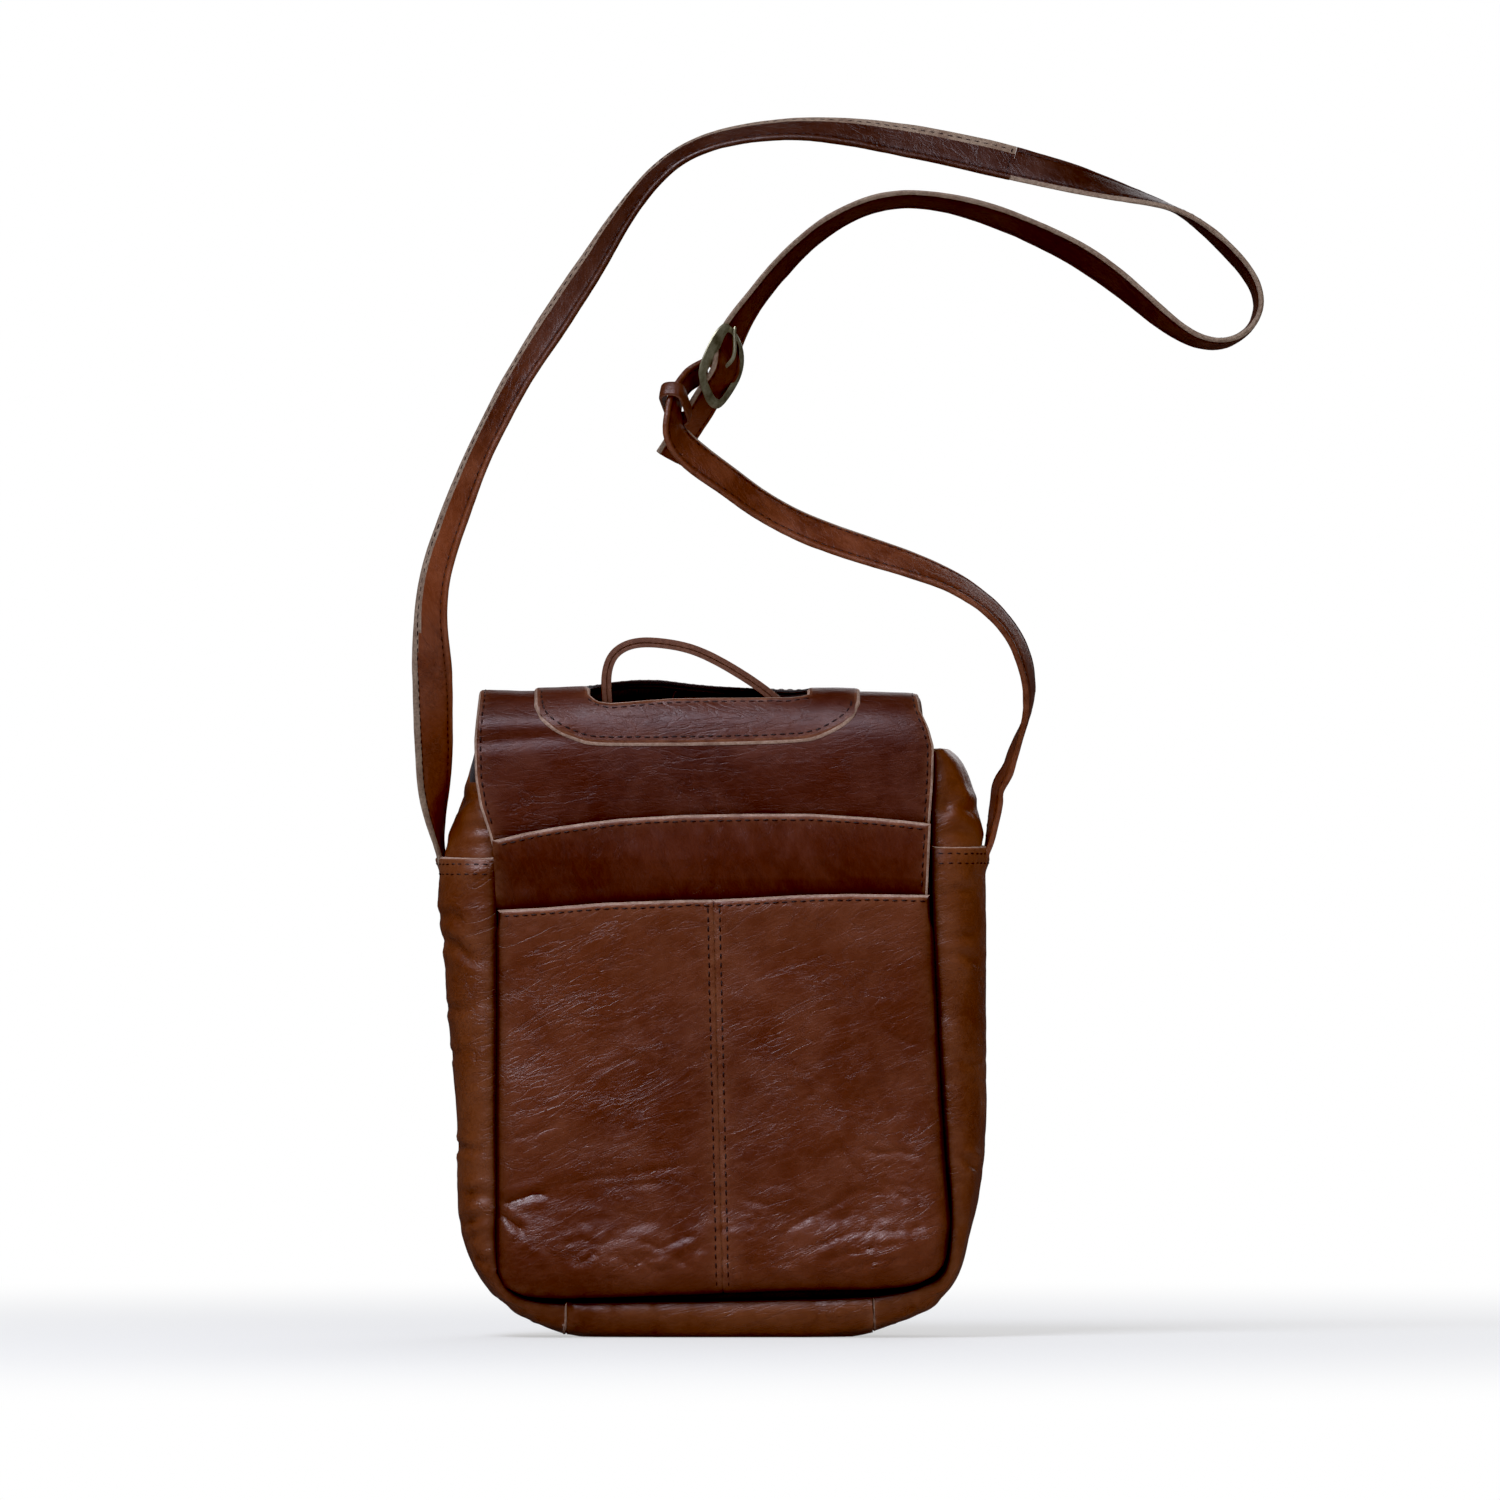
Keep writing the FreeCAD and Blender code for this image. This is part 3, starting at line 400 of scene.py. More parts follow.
# ================================================================== STITCHES
# capsule of unit half sizes: (place along the stitch, radius of the ring there)
CAPSULE_RINGS = [(-1.0, 0.0), (-0.78, 0.62), (-0.35, 0.95), (0.35, 0.95), (0.78, 0.62), (1.0, 0.0)]
CAPSULE = np.array([
    (along, radius * math.cos(k * math.pi / 3), radius * math.sin(k * math.pi / 3))
    for along, radius in CAPSULE_RINGS for k in range(6 if radius else 1)])
CAPSULE_FACES = [(0, 1 + (k + 1) % 6, 1 + k) for k in range(6)]
for ring in range(3):
    for k in range(6):
        a, b = 1 + ring * 6 + k, 1 + ring * 6 + (k + 1) % 6
        CAPSULE_FACES.append((a, b, b + 6, a + 6))
CAPSULE_FACES += [(25, 19 + k, 19 + (k + 1) % 6) for k in range(6)]
STITCH_HEIGHT = 0.52
END_SINK = 0.22
PITCH = 3.8


class Thread:
    """Collects the stitches of one seam group into one piece."""

    def __init__(self, name):
        self.name = name
        self.verts = []
        self.faces = []
        self.count = 0

    def add(self, centres, along, normals, length, width):
        """Capsules at the centres, with their ends sunk into the leather."""
        if len(centres) == 0:
            return
        centres = np.asarray(centres, float)
        along = unit(np.asarray(along, float))
        across = unit(np.cross(unit(np.asarray(normals, float)), along))
        normals = unit(np.cross(along, across))
        rise = CAPSULE[:, 2] * STITCH_HEIGHT / 2 - CAPSULE[:, 0] ** 2 * END_SINK
        verts = (centres[:, None] + along[:, None] * (CAPSULE[:, 0] * length / 2)[None, :, None]
                 + across[:, None] * (CAPSULE[:, 1] * width / 2)[None, :, None]
                 + normals[:, None] * rise[None, :, None])
        self.verts.append(verts.reshape(-1, 3))
        for _ in centres:
            self.faces += [tuple(k + self.count for k in face) for face in CAPSULE_FACES]
            self.count += len(CAPSULE)

    def row(self, surface, line, toward, pitch=PITCH, fill=0.76, width=0.76, lift=0.10,
            reach=40, jitter=0.12, seed=1):
        """Stitches along a polyline, dropped on a surface from the toward side."""
        if len(line) > 2:
            points = spline(line, step=pitch)
        else:
            length = np.linalg.norm(np.subtract(line[1], line[0]))
            points = np.linspace(line[0], line[1], max(2, int(length / pitch) + 1))
        if callable(toward):
            directions = toward(points)
        else:
            directions = np.broadcast_to(np.asarray(toward, float), points.shape)
        hits = []
        for point, out in zip(points, directions):
            out = out / np.linalg.norm(out)
            cast = surface.ray_cast(Vector(point + out * reach), Vector(-out), reach * 2)
            hits.append(None if cast[0] is None else (np.array(cast[0]), np.array(cast[1])))
        draws = np.random.RandomState(seed)
        centres, alongs, normals = [], [], []
        for first, second, out in zip(hits, hits[1:], directions):
            if first is None or second is None:
                continue
            gap = second[0] - first[0]
            size = np.linalg.norm(gap)
            if size > pitch * 1.6:
                continue
            normal = first[1] + second[1]
            if normal @ out < 0:
                normal = -normal
            normal = normal / np.linalg.norm(normal)
            along = gap / size
            side = np.cross(normal, along)
            middle = (first[0] + second[0]) / 2
            centres.append(middle + normal * lift + side * draws.uniform(-jitter, jitter))
            alongs.append(along + side * draws.uniform(-0.05, 0.05))
            normals.append(normal)
        self.add(centres, alongs, normals, pitch * fill, width)

    def build(self, mat):
        return make(self.name, np.concatenate(self.verts), self.faces, [mat], angle=0)


# ================================================================== MATERIALS
def srgb(*levels):
    """Linear colour from 0-255 display levels."""
    shares = [level / 255 for level in levels]
    return tuple(c / 12.92 if c <= 0.04045 else ((c + 0.055) / 1.055) ** 2.4
                 for c in shares) + (1,)


class Nodes:
    """Short ways to grow the node tree of a material or world."""

    def __init__(self, owner):
        owner.use_nodes = True
        self.owner = owner
        self.tree = owner.node_tree

    @cached_property
    def coord(self):
        return self.node("ShaderNodeTexCoord").outputs["Object"]

    def fill(self, node, inputs):
        for key, value in inputs.items():
            if isinstance(value, bpy.types.NodeSocket):
                self.tree.links.new(value, node.inputs[key])
            else:
                node.inputs[key].default_value = value

    def node(self, kind, inputs=None, **settings):
        node = self.tree.nodes.new(kind)
        for key, value in settings.items():
            setattr(node, key, value)
        self.fill(node, inputs or {})
        return node

    def noise(self, scale, detail=4, roughness=0.55, vector=None, distortion=0.0):
        return self.node("ShaderNodeTexNoise", inputs={
            "Vector": vector or self.coord, "Scale": scale, "Detail": detail,
            "Roughness": roughness, "Distortion": distortion}).outputs["Fac"]

    def remap(self, value, span, to=(0, 1), **settings):
        return self.node("ShaderNodeMapRange", inputs={
            "Value": value, "From Min": span[0], "From Max": span[1],
            "To Min": to[0], "To Max": to[1]}, **settings).outputs[0]

    def math(self, operation, a, b=0.0):
        return self.node("ShaderNodeMath", inputs={0: a, 1: b}, operation=operation).outputs[0]

    def times(self, a, b):
        return self.math("MULTIPLY", a, b)

    def plus(self, a, b):
        return self.math("ADD", a, b)

    def minus(self, a, b):
        return self.math("SUBTRACT", a, b)

    def mix(self, share, first, second):
        return self.node("ShaderNodeMix", inputs={0: share, 6: first, 7: second},
                         data_type="RGBA").outputs[2]

    def attribute(self, name):
        return self.node("ShaderNodeAttribute", attribute_name=name).outputs["Fac"]

    def bump(self, height, distance, strength, under=None):
        inputs = {"Height": height, "Distance": distance, "Strength": strength}
        if under is not None:
            inputs["Normal"] = under
        return self.node("ShaderNodeBump", inputs=inputs).outputs[0]

    def surface(self, inputs):
        self.fill(self.tree.nodes["Principled BSDF"], inputs)
        return self.owner


def new_material(name):
    return Nodes(bpy.data.materials.new(name))


EDGE_TINT = srgb(146, 92, 62)
# colour of the painted shade that the shade attribute mixes in
PAINTED_SHADE_COLOUR = (0.0022, 0.0010, 0.0008, 1)


def leather(name, base, dark, light, rough=(0.28, 0.40), crackle=1.0, turn=-24, fold=1.0,
            painted_height_light=None):
    """Aniline leather: colour clouds, hair-fine creases running one way, pores, worn edges,
    painted shade.

    turn is the grain angle in degrees; crackle and fold scale the crease network and the
    hair creases; the last argument is (rest height span in metres, colour gain at its two ends),
    light and shade painted by height.
    """
    base, dark, light = srgb(*base), srgb(*dark), srgb(*light)
    m = new_material(name)

    def grain(angle, stretch):
        return m.node("ShaderNodeMapping", vector_type="TEXTURE", inputs={
            "Vector": m.coord, "Rotation": (0, math.radians(angle), 0),
            "Scale": (stretch, 1.0, 1.0)}).outputs[0]

    run = grain(angle=turn, stretch=3.4)
    cross_run = grain(angle=turn + 38, stretch=2.2)
    # colour clouds at three sizes
    big = m.noise(scale=12.0, detail=3, roughness=0.5)
    mid = m.noise(scale=46.0, detail=6, roughness=0.60, distortion=0.4)
    fine = m.noise(scale=420.0, detail=5, roughness=0.7)
    colour = m.mix(m.remap(big, (0.34, 0.68), to=(0, 0.85)), dark, base)
    colour = m.mix(m.remap(mid, (0.44, 0.80), to=(0, 0.55)), colour, light)
    colour = m.mix(m.remap(fine, (0.3, 0.75), to=(0.0, 0.14)), colour, dark)

    def hair(vector, scale, width, detail=5):
        """Thin lines where a stretched noise crosses its middle value."""
        value = m.noise(scale=scale, detail=detail, roughness=0.58, vector=vector,
                        distortion=0.8)
        return m.remap(m.math("ABSOLUTE", m.minus(value, 0.5)), (0.0, width), to=(1.0, 0.0))

    mask = m.remap(m.noise(scale=19.0, detail=3, roughness=0.6), (0.40, 0.62), to=(0.10, 1.0))
    cross_mask = m.remap(m.noise(scale=31.0, detail=3, roughness=0.6, vector=cross_run),
                         (0.44, 0.66))
    hairs = m.times(hair(run, scale=84.0, width=0.030), mask)
    cross_hairs = m.times(hair(cross_run, scale=150.0, width=0.034), cross_mask)
    fine_hairs = hair(run, scale=250.0, width=0.060, detail=4)

    # patchy network of fine cracks
    wobble = m.node("ShaderNodeTexNoise", inputs={"Vector": run, "Scale": 120.0, "Detail": 3.0})
    warped = m.node("ShaderNodeVectorMath", operation="MULTIPLY_ADD", inputs={
        0: wobble.outputs["Color"], 1: (0.006, 0.006, 0.006), 2: run}).outputs[0]
    to_crack = m.node("ShaderNodeTexVoronoi", feature="DISTANCE_TO_EDGE", inputs={
        "Vector": warped, "Scale": 330.0, "Randomness": 1.0}).outputs["Distance"]
    crack = m.remap(to_crack, (0.0, 0.10), to=(1.0, 0.0))
    patches = m.remap(m.noise(scale=26.0, detail=3, roughness=0.6), (0.46, 0.68))
    network = m.times(crack, m.times(patches, crackle))

    # strengths of the three hair layers, then the creases' own tints
    all_hairs = m.times(m.plus(m.plus(hairs, m.times(cross_hairs, 0.8)),
                               m.times(fine_hairs, 0.30)), fold)
    colour = m.mix(m.times(m.plus(hairs, cross_hairs), 0.30 * fold), colour, dark)
    colour = m.mix(m.times(fine_hairs, 0.16), colour, light)
    colour = m.mix(m.times(network, 0.30), colour, dark)

    # worn edges, then painted shade at seams, sewn edges and gaps
    wear = m.attribute("wear")
    scuff = m.remap(m.noise(scale=160.0, detail=5, roughness=0.7), (0.35, 0.7), to=(0.15, 1.0))
    worn = m.times(m.math("POWER", wear, 1.6), m.times(scuff, 0.75))
    colour = m.mix(worn, colour, EDGE_TINT)
    shade = m.math("MINIMUM", m.times(m.attribute("shade"), 0.99), 1.0)
    colour = m.mix(shade, colour, PAINTED_SHADE_COLOUR)
    # painted light and shade by height: the colour scales with the rest height
    if painted_height_light:
        span, gains = painted_height_light
        gain = m.remap(m.attribute("rest_z"), span, to=gains, interpolation_type="SMOOTHSTEP")
        colour = m.node("ShaderNodeVectorMath", operation="SCALE",
                        inputs={0: colour, "Scale": gain}).outputs[0]

    roughness = m.remap(mid, (0.3, 0.75), to=rough)
    roughness = m.plus(roughness, m.times(all_hairs, 0.07))
    # specular 0.5, all but lost where shade is painted
    specular = m.times(m.minus(1.0, m.times(m.attribute("shade"), 0.97)), 0.5)
    # from pores up to broad swells, distances in metres
    relief = m.bump(m.noise(scale=1500.0, detail=3, roughness=0.6), distance=0.00002,
                    strength=0.4)
    relief = m.bump(fine, distance=0.00010, strength=0.35, under=relief)
    relief = m.bump(m.times(all_hairs, -1.0), distance=0.00013, strength=0.8, under=relief)
    relief = m.bump(m.times(network, -1.0), distance=0.00012, strength=0.8, under=relief)
    relief = m.bump(m.noise(scale=70.0, vector=run), distance=0.0011, strength=0.5,
                    under=relief)
    return m.surface({
        "Base Color": colour, "Roughness": roughness, "Specular IOR Level": specular,
        "Coat Weight": 0.0, "Coat Roughness": 0.28, "Sheen Weight": 0.0,
        "Sheen Roughness": 0.45, "Sheen Tint": (0.80, 0.72, 1.0, 1), "Normal": relief})


def raw_edge(name, dark, light):
    """Cut leather fibres with brown stains."""
    m = new_material(name)
    fibres = m.noise(scale=700.0, detail=6, roughness=0.75)
    stains = m.noise(scale=120.0, detail=4, roughness=0.6)
    colour = m.mix(m.remap(fibres, (0.32, 0.7)), srgb(*dark), srgb(*light))
    colour = m.mix(m.remap(stains, (0.45, 0.75), to=(0, 0.55)), colour, srgb(92, 54, 38))
    return m.surface({
        "Base Color": colour, "Roughness": 0.72, "Specular IOR Level": 0.35,
        "Normal": m.bump(fibres, distance=0.0002, strength=0.8)})


def fabric(name, dark, light, threads=1500.0):
    """Plain weave from two crossed sine waves; threads is half-waves per metre."""
    dark, light = srgb(*dark), srgb(*light)
    m = new_material(name)
    axes = m.node("ShaderNodeSeparateXYZ", inputs={"Vector": m.coord}).outputs

    def wave(axis, lean):
        along = m.plus(axes[axis], m.times(axes[1], lean))
        return m.math("SINE", m.times(along, threads * math.pi))

    weft = wave(axis=0, lean=0.6)
    warp = wave(axis=2, lean=0.8)
    weave = m.times(weft, warp)
    fuzz = m.noise(scale=900.0, detail=4, roughness=0.7)
    colour = m.mix(m.remap(weave, (-1, 1)), dark, light)
    colour = m.mix(m.remap(fuzz, (0.4, 0.8), to=(0, 0.5)), colour, light)
    relief = m.bump(fuzz, distance=0.0001, strength=0.5)
    return m.surface({
        "Base Color": colour, "Roughness": 0.82, "Sheen Weight": 0.15,
        "Normal": m.bump(weave, distance=0.00012, strength=0.7, under=relief)})


def suede(name, dark, light):
    dark, light = srgb(*dark), srgb(*light)
    m = new_material(name)
    nap = m.noise(scale=1300.0, detail=5, roughness=0.8)
    patches = m.noise(scale=40.0, detail=4, roughness=0.6)
    colour = m.mix(m.remap(nap, (0.3, 0.7)), dark, light)
    colour = m.mix(m.remap(patches, (0.4, 0.7), to=(0, 0.4)), colour, dark)
    return m.surface({
        "Base Color": colour, "Roughness": 0.95, "Sheen Weight": 0.4, "Sheen Roughness": 0.6,
        "Normal": m.bump(nap, distance=0.00025, strength=0.8)})


def brass(name, dark, bright, rough=(0.22, 0.5), metallic=0.9):
    """Tarnished metal, brighter on its edges."""
    dark, bright = srgb(*dark), srgb(*bright)
    m = new_material(name)
    tarnish = m.noise(scale=130.0, detail=5, roughness=0.65)
    specks = m.noise(scale=1400.0, detail=4, roughness=0.7)
    colour = m.mix(m.remap(tarnish, (0.34, 0.62)), dark, bright)
    colour = m.mix(m.remap(specks, (0.5, 0.8), to=(0, 0.6)), colour, dark)
    edge = m.node("ShaderNodeNewGeometry").outputs["Pointiness"]
    colour = m.mix(m.remap(edge, (0.52, 0.6), to=(0, 0.7)), colour, bright)
    roughness = m.remap(tarnish, (0.3, 0.7), to=rough[::-1])
    relief = m.bump(tarnish, distance=0.0003, strength=0.3)
    return m.surface({
        "Base Color": colour, "Metallic": metallic, "Roughness": roughness,
        "Normal": m.bump(specks, distance=0.00006, strength=0.5, under=relief)})


def twisted_thread(name, dark, light):
    m = new_material(name)
    twist = m.node("ShaderNodeTexWave", wave_type="BANDS", bands_direction="DIAGONAL", inputs={
        "Vector": m.coord, "Scale": 900.0, "Distortion": 1.5, "Detail": 2.0}).outputs["Fac"]
    return m.surface({
        "Base Color": m.mix(twist, srgb(*dark), srgb(*light)), "Roughness": 0.6,
        "Normal": m.bump(twist, distance=0.0001, strength=0.6)})


POCKET = leather("pocket_leather", base=(104, 50, 24), dark=(82, 34, 14), light=(124, 66, 36))
BODY = leather("body_leather", base=(96, 42, 17), dark=(70, 26, 9), light=(118, 56, 27))
BAND = leather("band_leather", base=(84, 32, 11), dark=(62, 20, 6), light=(108, 48, 20),
               crackle=0.5, turn=70, fold=0.7)
FLAP = leather("flap_leather", base=(84, 33, 14), dark=(60, 20, 8), light=(106, 50, 25),
               rough=(0.32, 0.46), crackle=0.6, turn=-4, fold=0.8)
GUSSET = leather("gusset_leather", base=(116, 62, 29), dark=(88, 40, 16), light=(136, 78, 42),
                 crackle=0.8, turn=-15)
# the strap's colour is scaled by height: painted light low down and painted shade up top
STRAP = leather("strap_leather", base=(86, 40, 18), dark=(58, 24, 9), light=(114, 62, 36),
                rough=(0.34, 0.48), crackle=0.5, turn=60, fold=1.1,
                painted_height_light=((0.33, 0.47), (1.85, 0.50)))
HANDLE = leather("handle_leather", base=(96, 50, 30), dark=(62, 27, 14), light=(128, 76, 52),
                 crackle=0.4, turn=20)
RAW = raw_edge("raw_edge", dark=(150, 116, 98), light=(198, 170, 154))
RAW_STRAP = raw_edge("strap_cut_edge", dark=(110, 92, 76), light=(166, 144, 126))
RAW_DARK = raw_edge("burnished_edge", dark=(84, 48, 32), light=(124, 82, 62))
SUEDE = suede("leather_underside", dark=(120, 84, 58), light=(150, 112, 84))
LINING = fabric("lining_fabric", dark=(3, 3, 4), light=(15, 15, 16))
TAPE = fabric("zip_tape_fabric", dark=(10, 10, 11), light=(30, 30, 33), threads=1100.0)
BRASS = brass("antique_brass_metal", dark=(106, 104, 80), bright=(186, 182, 152),
              rough=(0.28, 0.46), metallic=0.72)
ZIP_BRASS = brass("zip_brass_metal", dark=(110, 92, 50), bright=(210, 184, 116))
THREAD = twisted_thread("dark_thread", dark=(24, 9, 5), light=(46, 20, 12))


def skin(leather_mat):
    return [leather_mat, RAW, SUEDE, leather_mat]


# ================================================================== GUSSETS
# stations (outer x, outer z, inner x, inner z): the crown of the gusset and its seam line
LEFT_STATIONS = [
    (-115.1, 203.7, -90.3, 203.7), (-115.9, 189.8, -90.3, 189.8), (-115.5, 177.2, -90.3, 177.2),
    (-113.4, 163.8, -90.3, 163.8), (-112.1, 143.6, -90.3, 143.6), (-110.5, 123.5, -90.3, 123.5),
    (-108.8, 103.3, -90.3, 103.3), (-108.1, 80.6, -90.1, 80.6), (-107.9, 56.3, -89.7, 58.0),
    (-105.8, 42.8, -90.1, 45.8), (-100.8, 30.2, -89.6, 35.3), (-94.1, 20.2, -87.8, 27.3),
    (-85.3, 12.6, -83.2, 21.4), (-74.8, 6.7, -75.2, 18.1), (-61.7, 2.1, -61.3, 16.8)]
BOTTOM_STATIONS = [
    (-61.7, 2.1, -61.3, 16.8), (-45.8, 0.2, -45.8, 16.8), (-25.6, -0.6, -25.6, 17.0),
    (-5.5, -0.8, -5.5, 17.2), (16.4, -0.8, 16.4, 17.6), (36.5, -0.6, 36.5, 18.1),
    (52.5, 0.6, 52.5, 18.5), (67.2, 3.4, 66.8, 19.3)]
RIGHT_STATIONS = [
    (114.7, 208.3, 91.6, 208.3), (114.7, 185.6, 91.6, 185.6), (114.9, 164.6, 92.4, 164.6),
    (115.1, 143.6, 93.5, 143.6), (115.1, 122.6, 94.5, 122.6), (115.1, 103.3, 95.8, 103.3),
    (114.2, 78.5, 97.4, 78.5), (110.9, 56.3, 98.9, 57.1), (107.5, 42.8, 98.7, 45.4),
    (104.2, 30.2, 97.9, 36.1), (99.5, 21.8, 95.8, 29.4), (91.1, 13.9, 89.5, 24.8),
    (80.6, 8.4, 80.2, 21.8), (67.2, 3.4, 66.8, 19.3)]
LEFT_TOP_STATIONS = [
    (-114.7, 204.3, -90.3, 204.3), (-113.2, 209.2, -90.3, 209.2), (-110.9, 214.6, -90.3, 214.6),
    (-108.4, 220.1, -90.3, 220.5), (-106.3, 226.8, -90.3, 227.2), (-104.2, 233.5, -90.3, 233.5),
    (-102.5, 241.9, -90.7, 241.5), (-100.8, 249.9, -91.1, 249.5)]
RIGHT_TOP_STATIONS = [
    (114.6, 208.7, 91.6, 208.7), (112.6, 219.2, 91.6, 219.2), (110.0, 230.6, 91.6, 229.7),
    (107.1, 239.4, 91.6, 238.6), (102.9, 246.1, 91.6, 244.9), (98.3, 249.5, 91.1, 249.1)]

# creases: (line of (x, z), depth, width)
LEFT_CREASES = [
    ([(-117, 80), (-107, 81.5), (-98, 80.0), (-90, 77.5)], 0.9, 2.0),
    ([(-106, 61.5), (-98, 62.5), (-90.5, 60)], 1.3, 2.2),
    ([(-107, 49.0), (-99, 51.5), (-90, 53.5)], 1.5, 2.2),
    ([(-103, 43), (-97, 46), (-91, 48.5)], 0.8, 1.8),
    ([(-96, 30), (-91.5, 38), (-90.5, 52)], 0.7, 1.8),
    ([(-100, 36), (-94, 33), (-88.5, 30)], 0.9, 1.8),
    ([(-116, 170), (-108, 166), (-99, 160), (-91, 159)], 1.2, 2.6),
    ([(-117, 178), (-110, 180), (-103, 175)], 0.9, 2.2),
    ([(-114, 141), (-106, 139), (-97, 141)], 0.7, 2.0),
    ([(-113, 119), (-104, 122), (-96, 121)], 0.6, 2.0),
    ([(-90, 17), (-82, 14), (-73, 14.5)], 0.8, 1.8),
    ([(-80, 9.5), (-73, 12), (-66, 16)], 0.7, 1.8)]
RIGHT_CREASES = [
    ([(99.5, 79), (106, 76), (112, 72.5)], 1.2, 2.0),
    ([(98, 79.5), (103, 82), (108, 82.5)], 0.7, 1.8),
    ([(95, 160), (103, 163), (113, 159)], 0.8, 2.2),
    ([(94, 186), (101, 190), (110, 190)], 0.9, 2.2),
    ([(97, 171), (104, 170), (112, 172)], 0.7, 2.0),
    ([(98, 119), (106, 116), (114, 118)], 0.6, 2.0),
    ([(104, 52), (100, 46), (98.5, 38)], 0.7, 2.0),
    ([(76, 21), (80.5, 18), (84.5, 13)], 1.5, 2.0),
    ([(84, 22), (90, 18.5), (97, 20)], 0.8, 2.0)]
BOTTOM_CREASES = [
    ([(-58, 14.5), (-55, 9), (-59, 4)], 0.9, 1.8),
    ([(-47, 13.5), (-30, 14.5), (-5, 13.8), (20, 14.2), (50, 15)], 0.5, 2.2),
    ([(-20, 14), (-23, 8), (-26, 3)], 0.5, 1.8),
    ([(-8, 12), (-12, 7), (-14, 3)], 0.45, 1.6),
    ([(30, 14), (33, 8), (31, 3)], 0.4, 1.8)]
LEFT_TOP_CREASES = [
    ([(-112, 222), (-104, 228), (-96, 232)], 0.8, 2.4),
    ([(-106, 214), (-99, 216), (-92, 215)], 0.6, 2.0)]
RIGHT_TOP_CREASES = [
    ([(112, 222), (103, 226), (95, 224)], 0.8, 2.6),
    ([(104, 236), (99, 229), (95, 221)], 0.9, 3.0),
    ([(111, 212), (103, 214), (95, 212)], 0.5, 2.0)]

GUSSET_THICK = 1.6
GUSSET_HALF = 24.55          # half the gusset's width in y
TOP_HALVES = (GUSSET_HALF - 1.2, 19.6)
TUCK = 6.0                   # how far the top gussets start below their first station


def gusset_grid(curve, half_start, half_end):
    """Grid along the outline by across the width, y from back to front; also the bulge share."""
    angle = np.linspace(-math.pi / 2, math.pi / 2, 44)
    power = 2 / 2.5
    y = np.sign(np.sin(angle)) * np.abs(np.sin(angle)) ** power
    bulge = np.maximum(np.cos(angle), 0) ** power
    arc = np.r_[0, np.cumsum(np.hypot(np.diff(y * 25), np.diff(bulge * 25)))]
    even = ticks(0, arc[-1], step=1.6, first=2.2)
    y, bulge = np.interp(even, arc, y), np.interp(even, arc, bulge)
    half = np.linspace(half_start, half_end, len(curve))[:, None]
    x = between(curve[:, 2:3], curve[:, 0:1], bulge)
    z = between(curve[:, 3:4], curve[:, 1:2], bulge)
    return np.stack([x, y[None] * half, z], -1), bulge


def gusset_facing(grid):
    return (grid - BAG_CENTRE) * np.array([1, 0.2, 1])


def gusset(name, node, stations, seed, creases, halves=(GUSSET_HALF, GUSSET_HALF),
           floor=-np.inf, soft_seam_shade=0.30, lip=0.0, dent=0.0, puff=1.7, back_slack=0.0,
           plain_ends=()):
    """One length of gusset. lip and dent raise and sink the middle round the top joint."""
    curve = spline(stations, step=1.5)
    grid, bulge = gusset_grid(curve, *halves)
    if back_slack:
        # the back half of the top edge is slack and hangs lower
        z = grid[..., 2].copy()
        low_z = z - back_slack * smooth((z - 222) / 26) * smooth((12 - grid[..., 1]) / 12)
        outline = curve[:, 1::-1]
        grid[..., 0] += (lookup(low_z, outline) - lookup(z, outline)) * bulge[None]
        grid[..., 2] = low_z
    y, z = grid[..., 1], grid[..., 2]
    squat = grid * np.array([1, 1, 0.8])
    inside = smooth((1 - np.abs(y) / 25.5) * 5)
    # swells and two sizes of wrinkle, patchy
    rise = (0.50 * clouds(squat, size=40, octaves=2, seed=seed)
            + 0.12 * clouds(squat, size=11, octaves=3, seed=seed + 1)
            - 0.5 * ridges(squat, size=30, octaves=2, seed=seed + 2)
            * smooth(value_noise(squat / 40 + seed) * 2)
            - 0.42 * ridges(squat * np.array([0.8, 1, 1.3]), size=15, octaves=3, seed=seed + 7)
            * smooth(value_noise(squat / 33 + seed * 2) * 1.6 + 0.4)) * inside
    # small puckers where the gusset is gathered into the panel seams
    along = chord_lengths(curve[:, 2:4])[:, None] / 5.5 + 0 * bulge
    pucker = value_noise(np.stack([along, np.full_like(along, seed), 0 * along], -1))
    rise += hill(25.0 - np.abs(y), 5.0) * 0.35 * pucker
    start_fade = np.minimum(1, np.linspace(0, 1, len(curve)) * 40)[:, None]
    rise += puff * np.sin(math.pi * np.clip(bulge / 0.9, 0, 1) ** 0.8)[None] * start_fade
    # the front half has the same creases, lower and shallower
    for line, depth, width in creases:
        rise += inside * np.where(y < 6, crease(grid, line, depth * 1.45, width),
                                  crease(grid + (0, 0, 9.0), line, depth * 0.8, width))
    rise += hill(y, 9.5) * (lip * smooth((z - 196) / 7) - dent * smooth((214 - z) / 6))
    # the sheet grows outward, so its underside starts one thickness inside the outline
    for distance in (rise, -GUSSET_THICK):
        grid = displace(grid, distance, gusset_facing(grid))
        grid[..., 2] = np.maximum(grid[..., 2], floor + 1.62)
    reach = np.hypot(curve[:, 0] - curve[:, 2], curve[:, 1] - curve[:, 3])[:, None] * bulge[None]
    # painted shade along the seam: dark right at it, with a fainter band further out
    shade = np.clip(1.05 * hill(reach, 1.8) + soft_seam_shade * hill(reach, 4.2), 0, 1)
    piece = sheet(name, grid, skin(GUSSET), gusset_facing(grid), thick=GUSSET_THICK,
                  chamfer=1.1, shade=shade, wear_reach=4.0,
                  plain=(FIRST_COLUMN, LAST_COLUMN) + plain_ends)
    attach(piece.ob, "gusset_leather", "bag", node)
    return piece


